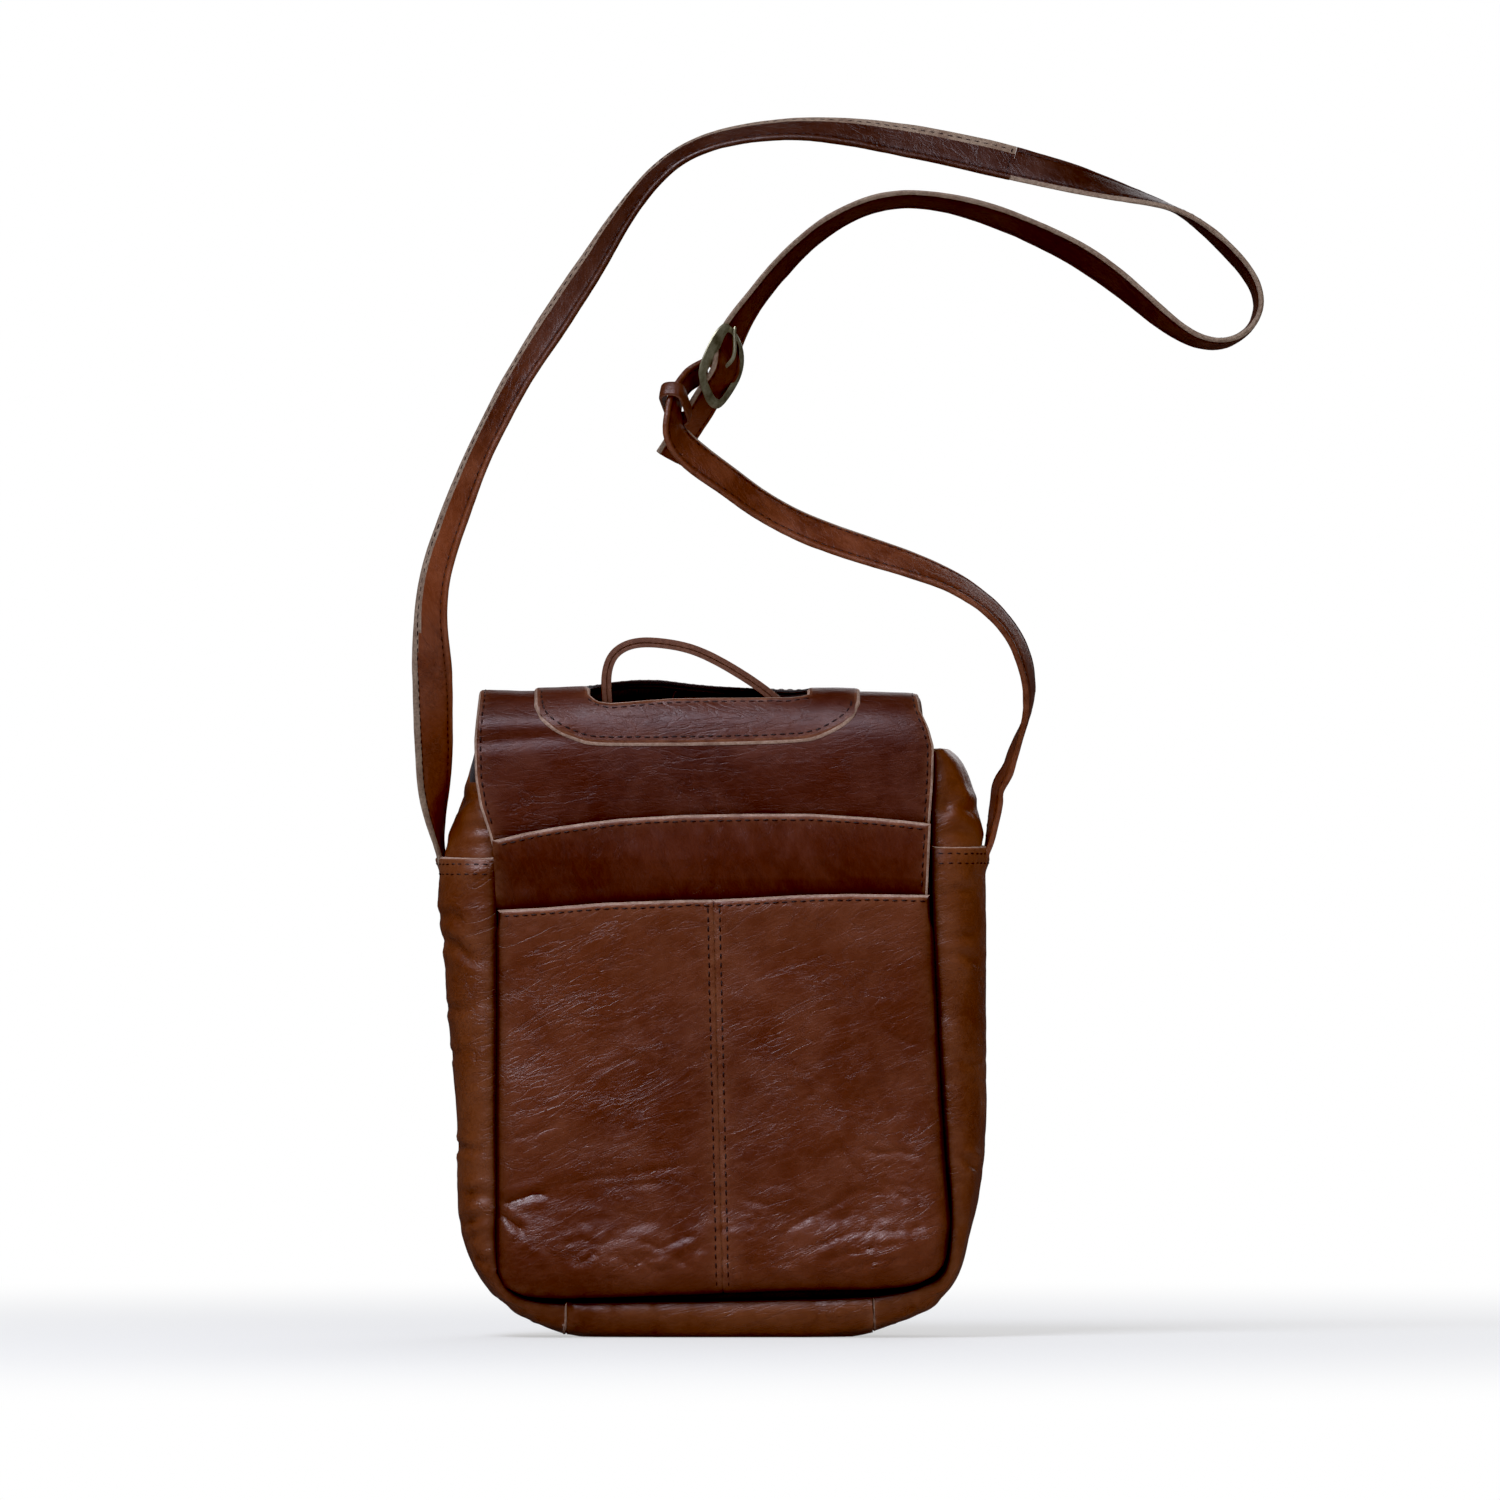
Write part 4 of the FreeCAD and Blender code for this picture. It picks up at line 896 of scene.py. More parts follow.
gusset_left = gusset("gusset_left_leather", "gusset_left_lower", LEFT_STATIONS, seed=1,
                     creases=LEFT_CREASES, floor=0.0, lip=2.2)
gusset_right = gusset("gusset_right_leather", "gusset_right_lower", RIGHT_STATIONS, seed=2,
                      creases=RIGHT_CREASES, floor=0.0, lip=2.2)
gusset("gusset_bottom_leather", "gusset_bottom", BOTTOM_STATIONS, seed=3,
       creases=BOTTOM_CREASES, floor=-0.05, soft_seam_shade=0.08, puff=2.5,
       plain_ends=(FIRST_ROW, LAST_ROW))


def with_tuck(stations, inward):
    """Adds a first station below the joint, tucked inside the lower gusset."""
    x, z, inner_x, inner_z = stations[0]
    return [(x + 2 * inward, z - TUCK, inner_x + inward, inner_z - TUCK)] + stations


gusset("gusset_left_top_leather", "gusset_left_upper", with_tuck(LEFT_TOP_STATIONS, 0.4),
       seed=4, creases=LEFT_TOP_CREASES, halves=TOP_HALVES, dent=1.6, puff=1.0,
       back_slack=15.0, plain_ends=(LAST_ROW,))
gusset("gusset_right_top_leather", "gusset_right_upper", with_tuck(RIGHT_TOP_STATIONS, -0.4),
       seed=5, creases=RIGHT_TOP_CREASES, halves=TOP_HALVES, dent=1.6, puff=1.2)


# ================================================================== PANELS AND LINING
# side edges are (z, x), bottom and top edges are (x, z)
PANEL_LEFT = [(16, -84), (19, -86.5), (27.3, -87.8), (35.3, -89.6), (45.8, -90.1), (58, -89.7),
              (80, -90.1), (250, -90.3)]
PANEL_RIGHT = [(16, 82), (21.8, 88), (29.4, 95.8), (36.1, 97.9), (45.4, 98.7), (57, 98.9),
               (78.5, 97.4), (103, 95.8), (143, 93.5), (208, 91.6), (250, 91.1)]
PANEL_BOTTOM = [(-91, 34), (-87.8, 26), (-83.2, 21.6), (-75.2, 18.3), (-61.3, 16.9),
                (-5.5, 17.2), (36, 18.1), (66.8, 19.3), (80.2, 21.8), (89.5, 25.2),
                (95.8, 30.5), (99, 42)]
PANEL_TOP = 249.8
PANEL_EDGES = (PANEL_LEFT, PANEL_RIGHT, PANEL_BOTTOM, PANEL_TOP)
LINING_EDGES = (shifted(PANEL_LEFT, 4.2), shifted(PANEL_RIGHT, -4.2),
                shifted(PANEL_BOTTOM, 4.5), 245.5)
LINING_CENTRE_X, LINING_CENTRE_Z = 0.5, 134.0


def region(left, right, bottom, top, columns, rows, first=2.4, height=165.0):
    """Grid of (x, z) between four boundary curves, rows upward and columns to the right."""
    across = ticks(0, 1, step=1.0 / columns, first=first / 180.0)
    up = ticks(0, 1, step=1.0 / rows, first=first / height)
    U, V = np.meshgrid(across, up)
    z = np.full(U.shape, 100.0)
    x = np.zeros(U.shape)
    for _ in range(40):
        x = 0.5 * x + 0.5 * between(at(left, z), at(right, z), U)
        z = 0.5 * z + 0.5 * between(at(bottom, x), at(top, x), V)
    return x, z


def rippled(edges, y, step, ripple, size, octaves, seed):
    x, z = region(*edges, columns=int(183 / step), rows=int(200 / step))
    return flat(x, z, y + ripple * clouds(flat(x, z), size=size, octaves=octaves, seed=seed))


def edge_gap(x, z, left, right, bottom):
    """Distance from the nearest sewn edge, none outside it."""
    side = np.minimum(x - lookup(z, left), lookup(z, right) - x)
    return np.maximum(np.minimum(side, z - lookup(x, bottom)), 0)


def sewn_rise(x, z, left, right, side_reach, bottom_reach):
    """0 at the side and bottom seams, growing to 1 inside."""
    side = np.minimum(x - lookup(z, left), lookup(z, right) - x)
    up = z - lookup(x, POCKET_BOTTOM)
    return ((1 - np.exp(-np.maximum(side, 0) / side_reach))
            * (1 - np.exp(-np.maximum(up, 0) / bottom_reach)))


panels = {}
for place, y, facing, seed, thick in (("back", -25.0, BACK, 3, 1.4),
                                      ("front", 24.8, FRONT, 4, 1.5)):
    grid = rippled(PANEL_EDGES, y, step=3, ripple=0.25, size=40, octaves=2, seed=seed)
    shade = None
    if place == "back":
        # painted shade near the sewn edges, where the panel shows in the gaps round the pocket
        shade = hill(edge_gap(grid[..., 0], grid[..., 2], *PANEL_EDGES[:3]), 9.0)
    panels[place] = sheet(f"{place}_panel_leather", grid, skin(BODY), facing, thick=thick,
                          shade=shade, wear_reach=0.5, plain=ALL_BUT_LAST_ROW)
    attach(panels[place].ob, "body_leather", "bag", f"{place}_panel")

for place, y, facing, seed in (("back", -23.9, FRONT, 5), ("front", 23.9, BACK, 6)):
    grid = rippled(LINING_EDGES, y, step=3.4, ripple=0.5, size=30, octaves=3, seed=seed)
    piece = sheet(f"lining_{place}_fabric", grid, [LINING], facing, thick=0.5, chamfer=0.3)
    attach(piece.ob, "black_lining", "bag", f"lining_{place}")

# gusset lining: one strip just inside the gussets, from the mouth round to the mouth;
# it sits closer to the leather high on the left, where the back edge hangs low
strip = (LEFT_TOP_STATIONS[:0:-1] + LEFT_STATIONS[:-1] + BOTTOM_STATIONS
         + RIGHT_STATIONS[-2::-1] + RIGHT_TOP_STATIONS[1:])
grid = gusset_grid(spline(strip, step=4.0), 20.0, 20.0)[0]
snug = (smooth((grid[..., 2] - 226) / 12) * (grid[..., 0] < 0)
        * smooth((14 - grid[..., 1]) / 10))
grid[..., 0] = LINING_CENTRE_X + (grid[..., 0] - LINING_CENTRE_X) * (0.962 + 0.030 * snug)
grid[..., 2] = LINING_CENTRE_Z + (grid[..., 2] - LINING_CENTRE_Z) * (0.972 + 0.028 * snug)
grid = grid[:, ::2]
grid = displace(grid, 0.4 * clouds(grid, size=22, octaves=3, seed=8), BAG_CENTRE - grid)
piece = sheet("lining_gusset_fabric", grid, [LINING], BAG_CENTRE - grid, thick=0.45, chamfer=0.3)
attach(piece.ob, "black_lining", "bag", "lining_gusset")


# ================================================================== BACK SLIP POCKET
POCKET_LEFT = [(18, -80), (20.6, -83), (23.5, -87), (26, -89), (29.4, -90.0), (60, -90.2),
               (200, -90.6)]
POCKET_RIGHT = [(22, 84), (25.2, 88), (28.1, 92.4), (31.5, 95.6), (35, 97.2), (40.7, 97.6),
                (50, 98.8), (68, 97.2), (101.6, 95.3), (143.6, 93.2), (185.6, 91.0), (200, 90.9)]
POCKET_BOTTOM = [(-91, 32), (-90, 28), (-87, 22.6), (-83, 20.4), (-75, 19.3), (-64, 18.9),
                 (-5, 21.0), (36.5, 22.5), (66.8, 22.8), (85.3, 24.4), (92.4, 27.2), (96, 30.5),
                 (99, 38)]
POCKET_MOUTH = [(-90.5, 181.4), (-72.2, 182.3), (-46.4, 184.4), (-14.3, 185.6), (-1.3, 185.7),
                (15.5, 186.5), (36.5, 187.7), (57.1, 188.2), (89.9, 187.7)]
POCKET_CREASES = [
    ([(-90, 56), (-84, 59), (-76, 61.8), (-68, 62)], 1.5, 2.4),
    ([(-89.5, 54), (-84, 50), (-79, 46)], 1.6, 2.2),
    ([(-70, 65), (-54, 68), (-38, 70), (-18, 73), (-5, 76)], 0.55, 1.8),
    ([(-46, 65), (-33, 66.5), (-20, 66)], 0.4, 1.4),
    ([(-86, 84), (-74, 88), (-62, 93)], 0.5, 1.8),
    ([(-52, 112), (-42, 117), (-30, 119)], 0.35, 1.5),
    ([(-62, 136), (-45, 134), (-30, 137)], 0.35, 1.6),
    ([(-56, 32), (-50, 37), (-46, 33)], 0.8, 1.6),
    ([(-40, 37), (-35, 31), (-30, 34), (-25, 30)], 0.8, 1.6),
    ([(-30, 42), (-22, 39), (-14, 43), (-7, 45)], 0.5, 1.5),
    ([(-64, 40), (-57, 43), (-49, 41)], 0.6, 1.6),
    ([(-46, 23), (-44, 27), (-39, 28)], 0.6, 1.5),
    ([(51, 87), (57, 76), (66, 66)], 0.7, 1.8),
    ([(60, 81), (70, 79), (78, 80), (90, 77)], 0.7, 1.8),
    ([(68, 70), (76, 63), (84, 58)], 0.6, 1.8),
    ([(28, 45), (40, 52), (52, 58), (60, 62)], 0.6, 1.8),
    ([(40, 38), (52, 44), (64, 46), (80, 46), (96, 49)], 0.8, 2.0),
    ([(44, 34), (56, 37), (70, 40), (84, 42)], 0.7, 1.6),
    ([(60, 30), (68, 34), (80, 35)], 0.5, 1.5),
    ([(10, 60), (22, 58), (34, 60)], 0.35, 1.5),
    ([(30, 118), (42, 112), (50, 105)], 0.35, 1.6),
    ([(70, 132), (80, 126), (90, 124)], 0.4, 1.6),
    ([(86, 112), (92, 100), (95, 90)], 0.5, 1.8)]
# crumpled patches low on both halves: (x, z, half width, half height, depth, seed)
CRUMPLES = [(-31, 33, 20, 9, 0.44, 5.2), (66, 39, 27, 8, 0.48, 8.2), (78, 56, 14, 10, 0.30, 3.7),
            (-79, 50, 9, 9, 0.3, 2.2), (10, 52, 16, 12, 0.25, 9.4)]
# swellings along the bottom: (x, z, half width, half height, height)
SWELLINGS = [(-74, 42, 15.0, 9.0, 1.7), (-30, 30, 24.0, 9.0, 1.3), (68, 35, 24.0, 9.5, 1.6)]
POCKET_Y = -26.5
POCKET_THICK = 1.6
HEM = 2.6                    # from a pocket mouth down to its stitches


def seam_x(z):
    """The centre seam leans left as it rises."""
    return 4.0 + (0.2 - 4.0) * (z - 22.0) / 161.0


def pocket_depth(x, z):
    """How far the pocket's underside stands out from its plane."""
    edge = sewn_rise(x, z, POCKET_LEFT, POCKET_RIGHT, side_reach=3.2, bottom_reach=4.0)
    Q = flat(x, z)
    from_seam = x - seam_x(z)
    belly = (2.5 + 2.9 * hill(z - 31, 27.0) + 0.8 * hill(z - 80, 40.0)
             + 1.2 * smooth((z - 150) / 35))
    depth = edge * belly * (1 - 0.10 * hill(from_seam, 9.0))
    depth += edge * (0.75 * clouds(Q, size=44, octaves=3, seed=1.5)
                     + 0.20 * clouds(Q, size=13, octaves=3, seed=2.5))
    # wrinkles: along the bottom, on the right, then in patches all over
    lumps = 0.9 * clouds(Q * np.array([1, 1, 1.35]), size=15, octaves=3, seed=3.3)
    folds = 0.95 * ridges(Q * np.array([0.8, 1, 1.2]), size=15, octaves=3, seed=4.1)
    depth += edge * hill(z - 34, 22.0) * (lumps - folds)
    right = smooth((x - 30) / 40) * hill(z - 62, 40.0)
    depth -= edge * right * 0.9 * ridges(Q, size=20, octaves=3, seed=6.1)
    depth -= (edge * 0.34 * ridges(Q * np.array([0.7, 1, 1.5]), size=16, octaves=3, seed=7.7)
              * smooth(value_noise(Q / 38 + 9) * 1.5 + 0.5))
    for line, deep, width in POCKET_CREASES:
        deep *= 1.0 if deep > 1.2 else 0.72
        depth += crease(Q, line, deep, width * 0.8, lip=0.25) * np.clip(edge * 1.4, 0, 1)
    for at_x, at_z, half_x, half_z, deep, seed in CRUMPLES:
        patch = np.exp(-(((x - at_x) / half_x) ** 2 + ((z - at_z) / half_z) ** 2))
        coarse = ridges(Q * np.array([0.75, 1, 1.25]), size=7.5, octaves=3, seed=seed) - 0.35
        fine = ridges(Q * np.array([0.6, 1, 1.1]), size=4.2, octaves=2, seed=seed + 11)
        depth -= edge * patch * (deep * coarse + 0.40 * fine)
    for at_x, at_z, half_x, half_z, high in SWELLINGS:
        depth += edge * high * np.exp(-(((x - at_x) / half_x) ** 2 + ((z - at_z) / half_z) ** 2))
    # pressed channel along the seam, low ridges beside it, then the stitch channels
    beside = np.abs(from_seam)
    depth += (-0.75 * hill(from_seam, 0.8) + 0.30 * hill(beside - 1.3, 0.8)
              - 0.35 * hill(beside - 2.5, 0.7))
    depth -= 0.25 * hill(lookup(x, POCKET_MOUTH) - z - HEM, 0.8)
    # the mouth keeps clear of the band behind it
    return np.maximum(depth, 1.9 * smooth((z - 170) / 12))


def pocket_half(side, left, right):
    x, z = region(left, right, POCKET_BOTTOM, POCKET_MOUTH, columns=84, rows=128, first=2.0)
    gap = edge_gap(x, z, POCKET_LEFT, POCKET_RIGHT, POCKET_BOTTOM)
    # painted shade along the sewn edges and down the centre seam
    shade = np.clip(1.1 * np.exp(-(gap / 1.5) ** 1.5) + 0.22 * hill(gap, 4.5)
                    + 0.6 * hill(x - seam_x(z), 0.6), 0, 1)
    return sheet(f"back_pocket_{side}_leather", flat(x, z, POCKET_Y - pocket_depth(x, z)),
                 skin(POCKET), BACK, thick=POCKET_THICK, shade=shade, wear_reach=5.0,
                 plain=ALL_BUT_LAST_ROW)


pocket_left = pocket_half("left", POCKET_LEFT, lambda z: seam_x(z) - 0.05)
pocket_right = pocket_half("right", lambda z: seam_x(z) + 0.05, POCKET_RIGHT)
attach(pocket_left.ob, "body_leather", "bag", "back_pocket_left")
attach(pocket_right.ob, "body_leather", "bag", "back_pocket_right")


# ================================================================== BACK BAND
# curved band over the foot of the flap
BAND_BOTTOM = 172
BAND_TOP = [(-93.2, 210.4), (-79, 213.8), (-65.9, 216.3), (-52, 218.2), (-39.5, 219.7),
            (-12.6, 221.3), (14.3, 221.8), (41.2, 221.8), (67.8, 220.1), (80, 219.0),
            (91.8, 217.6)]
BAND_LEFT = [(160, -90.6), (185, -91.2), (200, -92.0), (212, -93.0)]
BAND_RIGHT = [(160, 89.4), (185, 90.0), (220, 91.6)]
BAND_CREASES = [
    ([(-30, 214), (-24, 203), (-19, 194), (-15, 184)], 0.9, 2.6),
    ([(-2, 219), (-1, 209), (2, 199), (1, 188)], 0.7, 2.2),
    ([(16, 219), (22, 205), (28, 195), (33, 186)], 0.95, 2.6),
    ([(34, 219), (40, 209), (46, 200), (51, 190)], 0.8, 2.2),
    ([(55, 214), (58, 202), (57, 190)], 0.5, 2.4), ([(-8, 196), (-11, 188), (-10, 182)], 0.5, 2.0),
    ([(-52, 212), (-46, 200), (-48, 188)], 0.35, 3.0),
    ([(-76, 206), (-80, 196), (-79, 186)], 0.4, 3.0),
    ([(72, 212), (75, 200), (73, 188)], 0.35, 3.0)]


def band_y(x, z):
    Q = flat(x, z)
    inside = smooth(np.minimum(x + 91.5, 91.0 - x) / 10)
    over_flap = smooth((z - 190) / 14)
    y = -26.7 - 0.5 * inside - (1.5 - 0.2 * inside) * over_flap
    soft = clouds(Q * np.array([1, 1, 0.45]), size=24, octaves=3, seed=12)
    rise = 0.45 * soft * (0.3 + 0.7 * inside)
    below_top = smooth((lookup(x, BAND_TOP) - z - 1.5) / 7)
    for line, depth, width in BAND_CREASES:
        rise = rise + crease(Q, line, depth, width, lip=0.7) * below_top
    # never sinks into the flap under it
    return np.minimum(y - np.clip(rise, -0.75, 1.0) - 0.35 * over_flap,
                      np.where(z > 202, -28.75, 0))


x, z = region(BAND_LEFT, BAND_RIGHT, BAND_BOTTOM, BAND_TOP, columns=110, rows=34, height=44.0)
pocket_shadow = np.exp(-((z - lookup(x, POCKET_MOUTH)) / 5.0).clip(0, 9)) * (z < 195)
side_shadow = np.exp(-(x + 91.5).clip(0, 99) / 3)
band = sheet("back_band_leather", flat(x, z, band_y(x, z)), skin(BAND), BACK, thick=1.35,
             chamfer=1.3, shade=np.clip(0.75 * pocket_shadow + 0.35 * side_shadow, 0, 1),
             plain=(FIRST_ROW, FIRST_COLUMN), wear_reach=4.0)
attach(band.ob, "body_leather", "bag", "back_band")


# ================================================================== FRONT POCKET
FRONT_MOUTH_Z = 146
FRONT_MOUTH = [(-200, 146), (-40, 146.0), (0, 145.4), (40, 146.0), (200, 146)]
FRONT_LEFT = [(18, -82), (21, -85), (26, -88), (60, -89.4), (150, -89.6)]
FRONT_RIGHT = [(20, 84), (24, 89), (30, 95), (36, 96.8), (50, 97.6), (68, 96.2), (102, 94.3),
               (146, 92.2)]

x, z = region(FRONT_LEFT, FRONT_RIGHT, shifted(POCKET_BOTTOM, -0.3), FRONT_MOUTH,
              columns=110, rows=78, height=125.0)
Q = flat(x, z, 30)
edge = sewn_rise(x, z, FRONT_LEFT, FRONT_RIGHT, side_reach=4.0, bottom_reach=5.0)
depth = edge * (1.2 + 0.35 * clouds(Q, size=40, octaves=3, seed=21)
                - 0.35 * ridges(Q, size=22, octaves=3, seed=22) * hill(z - 40, 30.0))
depth -= 0.25 * hill(lookup(x, FRONT_MOUTH) - z - HEM, 0.8)
# painted shade along the sewn edges
gap = edge_gap(x, z, FRONT_LEFT, FRONT_RIGHT, POCKET_BOTTOM)
front_pocket = sheet("front_pocket_leather", flat(x, z, 26.4 + depth), skin(POCKET), FRONT,
                     thick=POCKET_THICK, shade=0.7 * np.exp(-gap / 1.4),
                     plain=ALL_BUT_LAST_ROW, wear_reach=5.0)
attach(front_pocket.ob, "body_leather", "bag", "front_pocket")


# ================================================================== FLAP
# (y, z) from the foot at the back, over the crest, down to the front edge; s is the distance
# along this profile
PROFILE = [(-27.2, 205.0), (-27.4, 214.0), (-27.8, 224.0), (-28.3, 236.0), (-28.4, 247.0),
           (-27.6, 256.0), (-25.0, 263.6), (-21.4, 268.3), (-16.5, 271.9), (-9.5, 274.2),
           (0.0, 274.9), (9.0, 274.3), (18.0, 272.3), (25.5, 268.6), (31.6, 262.6),
           (35.0, 254.0), (36.6, 242.0), (37.2, 225.0), (37.4, 200.0), (37.4, 150.0),
           (37.2, 106.5)]
# side edges (s, x)
FLAP_LEFT = [(0, -92.0), (8, -94.0), (20, -98.0), (32, -100.0), (48, -100.4), (62, -99.2),
             (70, -98.7), (100, -98.0), (140, -98.0), (240, -98.6), (262, -98.0), (275, -95.5),
             (282, -92.0), (290, -86)]
FLAP_RIGHT = [(0, 90.2), (12, 91.1), (30, 92.4), (45, 92.8), (53, 90.7), (62, 87.2), (70, 86.4),
              (100, 87.0), (140, 90.0), (240, 91.0), (262, 90.6), (275, 88.0), (282, 84.5),
              (290, 78)]
# (x, height added at the crest)
CREST = [(-110, -1.2), (-98, -1.0), (-90, -2.0), (-81, -2.8), (-66, -2.6), (-52, -1.9),
         (-42, -0.1), (-33, 0.7), (-22, 0.8), (-10, -0.6), (5, -1.6), (18, -2.3), (38, -3.6),
         (60, -4.2), (85, -4.8), (100, -4.8)]
# handle slot: its ends in x, its back edge (x, z on the rise) and its front edge (x, y)
SLOT_LEFT, SLOT_RIGHT = -51.7, 39.5
SLOT_BACK = [(-75, 271.0), (-53, 270.9), (-51.7, 270.7), (-49.8, 269.2), (-47.9, 268.2),
             (-43.3, 267.5), (-36, 267.9), (-19.7, 269.1), (2.9, 269.8), (31.9, 269.9),
             (36, 270.3), (39.5, 271.0), (75, 271.2)]
SLOT_FRONT = [(-75, -9.5), (-53, -9.0), (-51.7, -8.2), (-49.5, -5.2), (-46.5, -3.2), (-43, -2.4),
              (31, -2.4), (34.5, -3.4), (37.5, -5.6), (39.5, -8.6), (75, -9.5)]
# slot patch: its ends in x, its back outline (x, z on the rise) and front outline (x, y)
PATCH_LEFT, PATCH_RIGHT = -75.2, 61.8
PATCH_BACK = [(-75.2, 266.5), (-74.2, 263.2), (-71.5, 259.5), (-65.5, 255.4), (-58, 252.4),
              (-51.5, 250.3), (-30, 250.2), (0, 250.4), (39, 251.6), (46, 253.8), (54, 257.6),
              (58.5, 261.0), (61, 264.5), (61.8, 267.5)]
PATCH_FRONT = [(-75.2, 2), (-72, 6), (-66, 11), (-51, 17), (40, 17), (54, 11), (59, 6), (61.8, 2)]
FLAP_HALF = 0.8              # half the flap's thickness
LINING_OFFSET = -FLAP_HALF - 0.65
LINING_INSET = 3.5

profile = spline([(0, y, z) for y, z in PROFILE], count=1400)[:, 1:]
ARC = chord_lengths(profile)
slope = unit(np.gradient(profile, axis=0))
NORMAL_Y, NORMAL_Z = -slope[:, 1], slope[:, 0]
S_END = ARC[-1]
S_FOLD = ARC[np.argmin(np.abs(profile[:, 0] + 19.2) + np.abs(profile[:, 1] - 270.0))]
S_FRONT = ARC[np.argmin(np.abs(profile[:, 0] - 31.63) + np.where(profile[:, 1] < 255, 100, 0))]


def s_on_crest(y):
    top = profile[:, 1] > 262
    return np.interp(y, profile[top, 0], ARC[top])


def s_on_rise(z):
    rise = profile[:, 0] < -10
    return np.interp(z, profile[rise, 1], ARC[rise])


S_SPLIT = float(s_on_crest(6.0))       # the flap is built in two sheets that meet here


def profile_point(s):
    """Point on the profile at x = 0, as y and z arrays."""
    return np.interp(s, ARC, profile[:, 0]), np.interp(s, ARC, profile[:, 1])


def flap_rise(x, s):
    """Height of the leather above the smooth profile."""
    y, z = profile_point(s)
    Q = flat(x, s)
    rise = lookup(x, CREST) * hill(y - 3, 13.0) * (z > 255)
    inset = np.minimum(x - lookup(s, FLAP_LEFT), lookup(s, FLAP_RIGHT) - x)
    above_foot = smooth((s - 17) / 25)
    rise = rise + above_foot * (0.45 * clouds(Q, size=48, octaves=3, seed=31)
                                + 0.10 * clouds(Q, size=14, octaves=3, seed=32)
                                - 0.9 * np.exp(-np.maximum(inset, 0) / 7.0))
    # soft fold line across the left half where the flap turns to the top
    rise = rise - 0.9 * hill(s - 47.5 - 1.5 * np.sin(x / 14), 3.2) * smooth((-52 - x) / 22)
    rise = rise + 0.7 * hill(s - 54.5, 4.0) * smooth((-46 - x) / 25)
    # fine creases near the foot on the right, and across the front turn
    foot = hill(s - 22, 16.0) * smooth((x + 10) / 60)
    rise = rise - foot * 0.22 * ridges(Q * np.array([0.35, 1, 1.6]), size=9, octaves=3, seed=33)
    turn = hill(s - S_FRONT, 14.0)
    rise = rise - turn * 0.30 * ridges(Q * np.array([0.3, 1, 1.5]), size=11, octaves=3, seed=34)
    drop = smooth((s - S_FRONT - 15) / 30)
    rise = rise + drop * (0.5 * clouds(Q, size=60, octaves=2, seed=35)
                          - 0.15 * ridges(Q, size=26, octaves=3, seed=36)
                          - 0.6 * np.exp(-((S_END - s) / 10.0)))
    # channels under the stitch rows
    return rise - 0.22 * hill(inset - 2.6, 0.9) - 0.22 * hill(S_END - s - 2.6, 0.9)


def flap_points(x, s, offset):
    y, z = profile_point(s)
    height = offset + flap_rise(x, s)
    return np.stack([x, y + np.interp(s, ARC, NORMAL_Y) * height,
                     z + np.interp(s, ARC, NORMAL_Z) * height], -1)


def flap_facing(points):
    """Outward direction of the flap profile nearest to each point."""
    spots = points[..., 1:].reshape(-1, 2)
    nearest = ((spots[:, None] - profile[None, ::4]) ** 2).sum(-1).argmin(1)
    s = ARC[::4][nearest].reshape(points.shape[:-1])
    return np.stack([0 * s, np.interp(s, ARC, NORMAL_Y), np.interp(s, ARC, NORMAL_Z)], -1)


def slot_back_s(x, grow=0.0):
    return s_on_rise(lookup(x, SLOT_BACK)) - grow


def slot_front_s(x, grow=0.0):
    return s_on_crest(lookup(x, SLOT_FRONT)) + grow


def holed_grid(low, high, left, right, grow, low_rows, high_rows, step=1.7):
    """Flap grid (x, s) from low to high s, with the cells of the slot, grown, marked."""
    slot_left, slot_right = SLOT_LEFT - grow, SLOT_RIGHT + grow
    slot_width = slot_right - slot_left

    def steps(count):
        return ticks(0, 1, step=1.0 / count, first=2.3 / (count * step))

    left_steps = steps(max(6, int(abs(slot_left - at(left, S_FOLD)) / step)))
    right_steps = steps(max(6, int(abs(at(right, S_FOLD) - slot_right) / step)))
    slot_columns = ticks(0, 1, step=step / slot_width, first=2.3 / slot_width)
    slot_rows = np.linspace(0, 1, 10)
    low_steps, high_steps = steps(low_rows), steps(high_rows)
    row0, column0 = len(low_steps) - 1, len(left_steps) - 1
    row1, column1 = row0 + len(slot_rows) - 1, column0 + len(slot_columns) - 1
    s = np.full((row1 + len(high_steps), 1), S_FOLD)
    # x and s depend on each other, so they are settled in rounds
    for _ in range(12):
        x_left, x_right = at(left, s[:, :1]), at(right, s[:, -1:])
        x = np.concatenate([
            between(x_left, slot_left, left_steps[None]),
            between(slot_left + 0 * x_left, slot_right, slot_columns[None])[:, 1:],
            between(slot_right, x_right, right_steps[None, 1:])], 1)
        back, front = slot_back_s(x[row0], grow), slot_front_s(x[row1], grow)
        s = np.concatenate([
            between(at(low, x[0]), back, low_steps[:, None]),
            between(back, front, slot_rows[:, None])[1:],
            between(front, at(high, x[-1]), high_steps[:, None])[1:]], 0)
    hole = np.zeros((s.shape[0] - 1, s.shape[1] - 1), bool)
    hole[row0:row1, column0:column1] = True
    return x, s, hole


def drop_grid(end, step, first, inset):
    """Flap grid (x, s) from the split down the front, inset from the side edges."""
    rows = between(S_SPLIT, end, ticks(0, 1, step=step, first=first))
    across = ticks(0, 1, step=2.0 / 188, first=2.4 / 188)
    s = np.repeat(rows[:, None], len(across), 1)
    x = between(lookup(s, FLAP_LEFT) + inset, lookup(s, FLAP_RIGHT) - inset, across[None])
    return x, s


def shows_cut(middles):
    """Cut edges show raw leather, except round the front side of the slot, where the black lining
    stands for the lining and painted shade seen there.
    """
    x, y = middles[:, 0], middles[:, 1]
    return ~((x > SLOT_LEFT - 4) & (x < SLOT_RIGHT + 4) & (y > -13.0) & (y < 1.5))


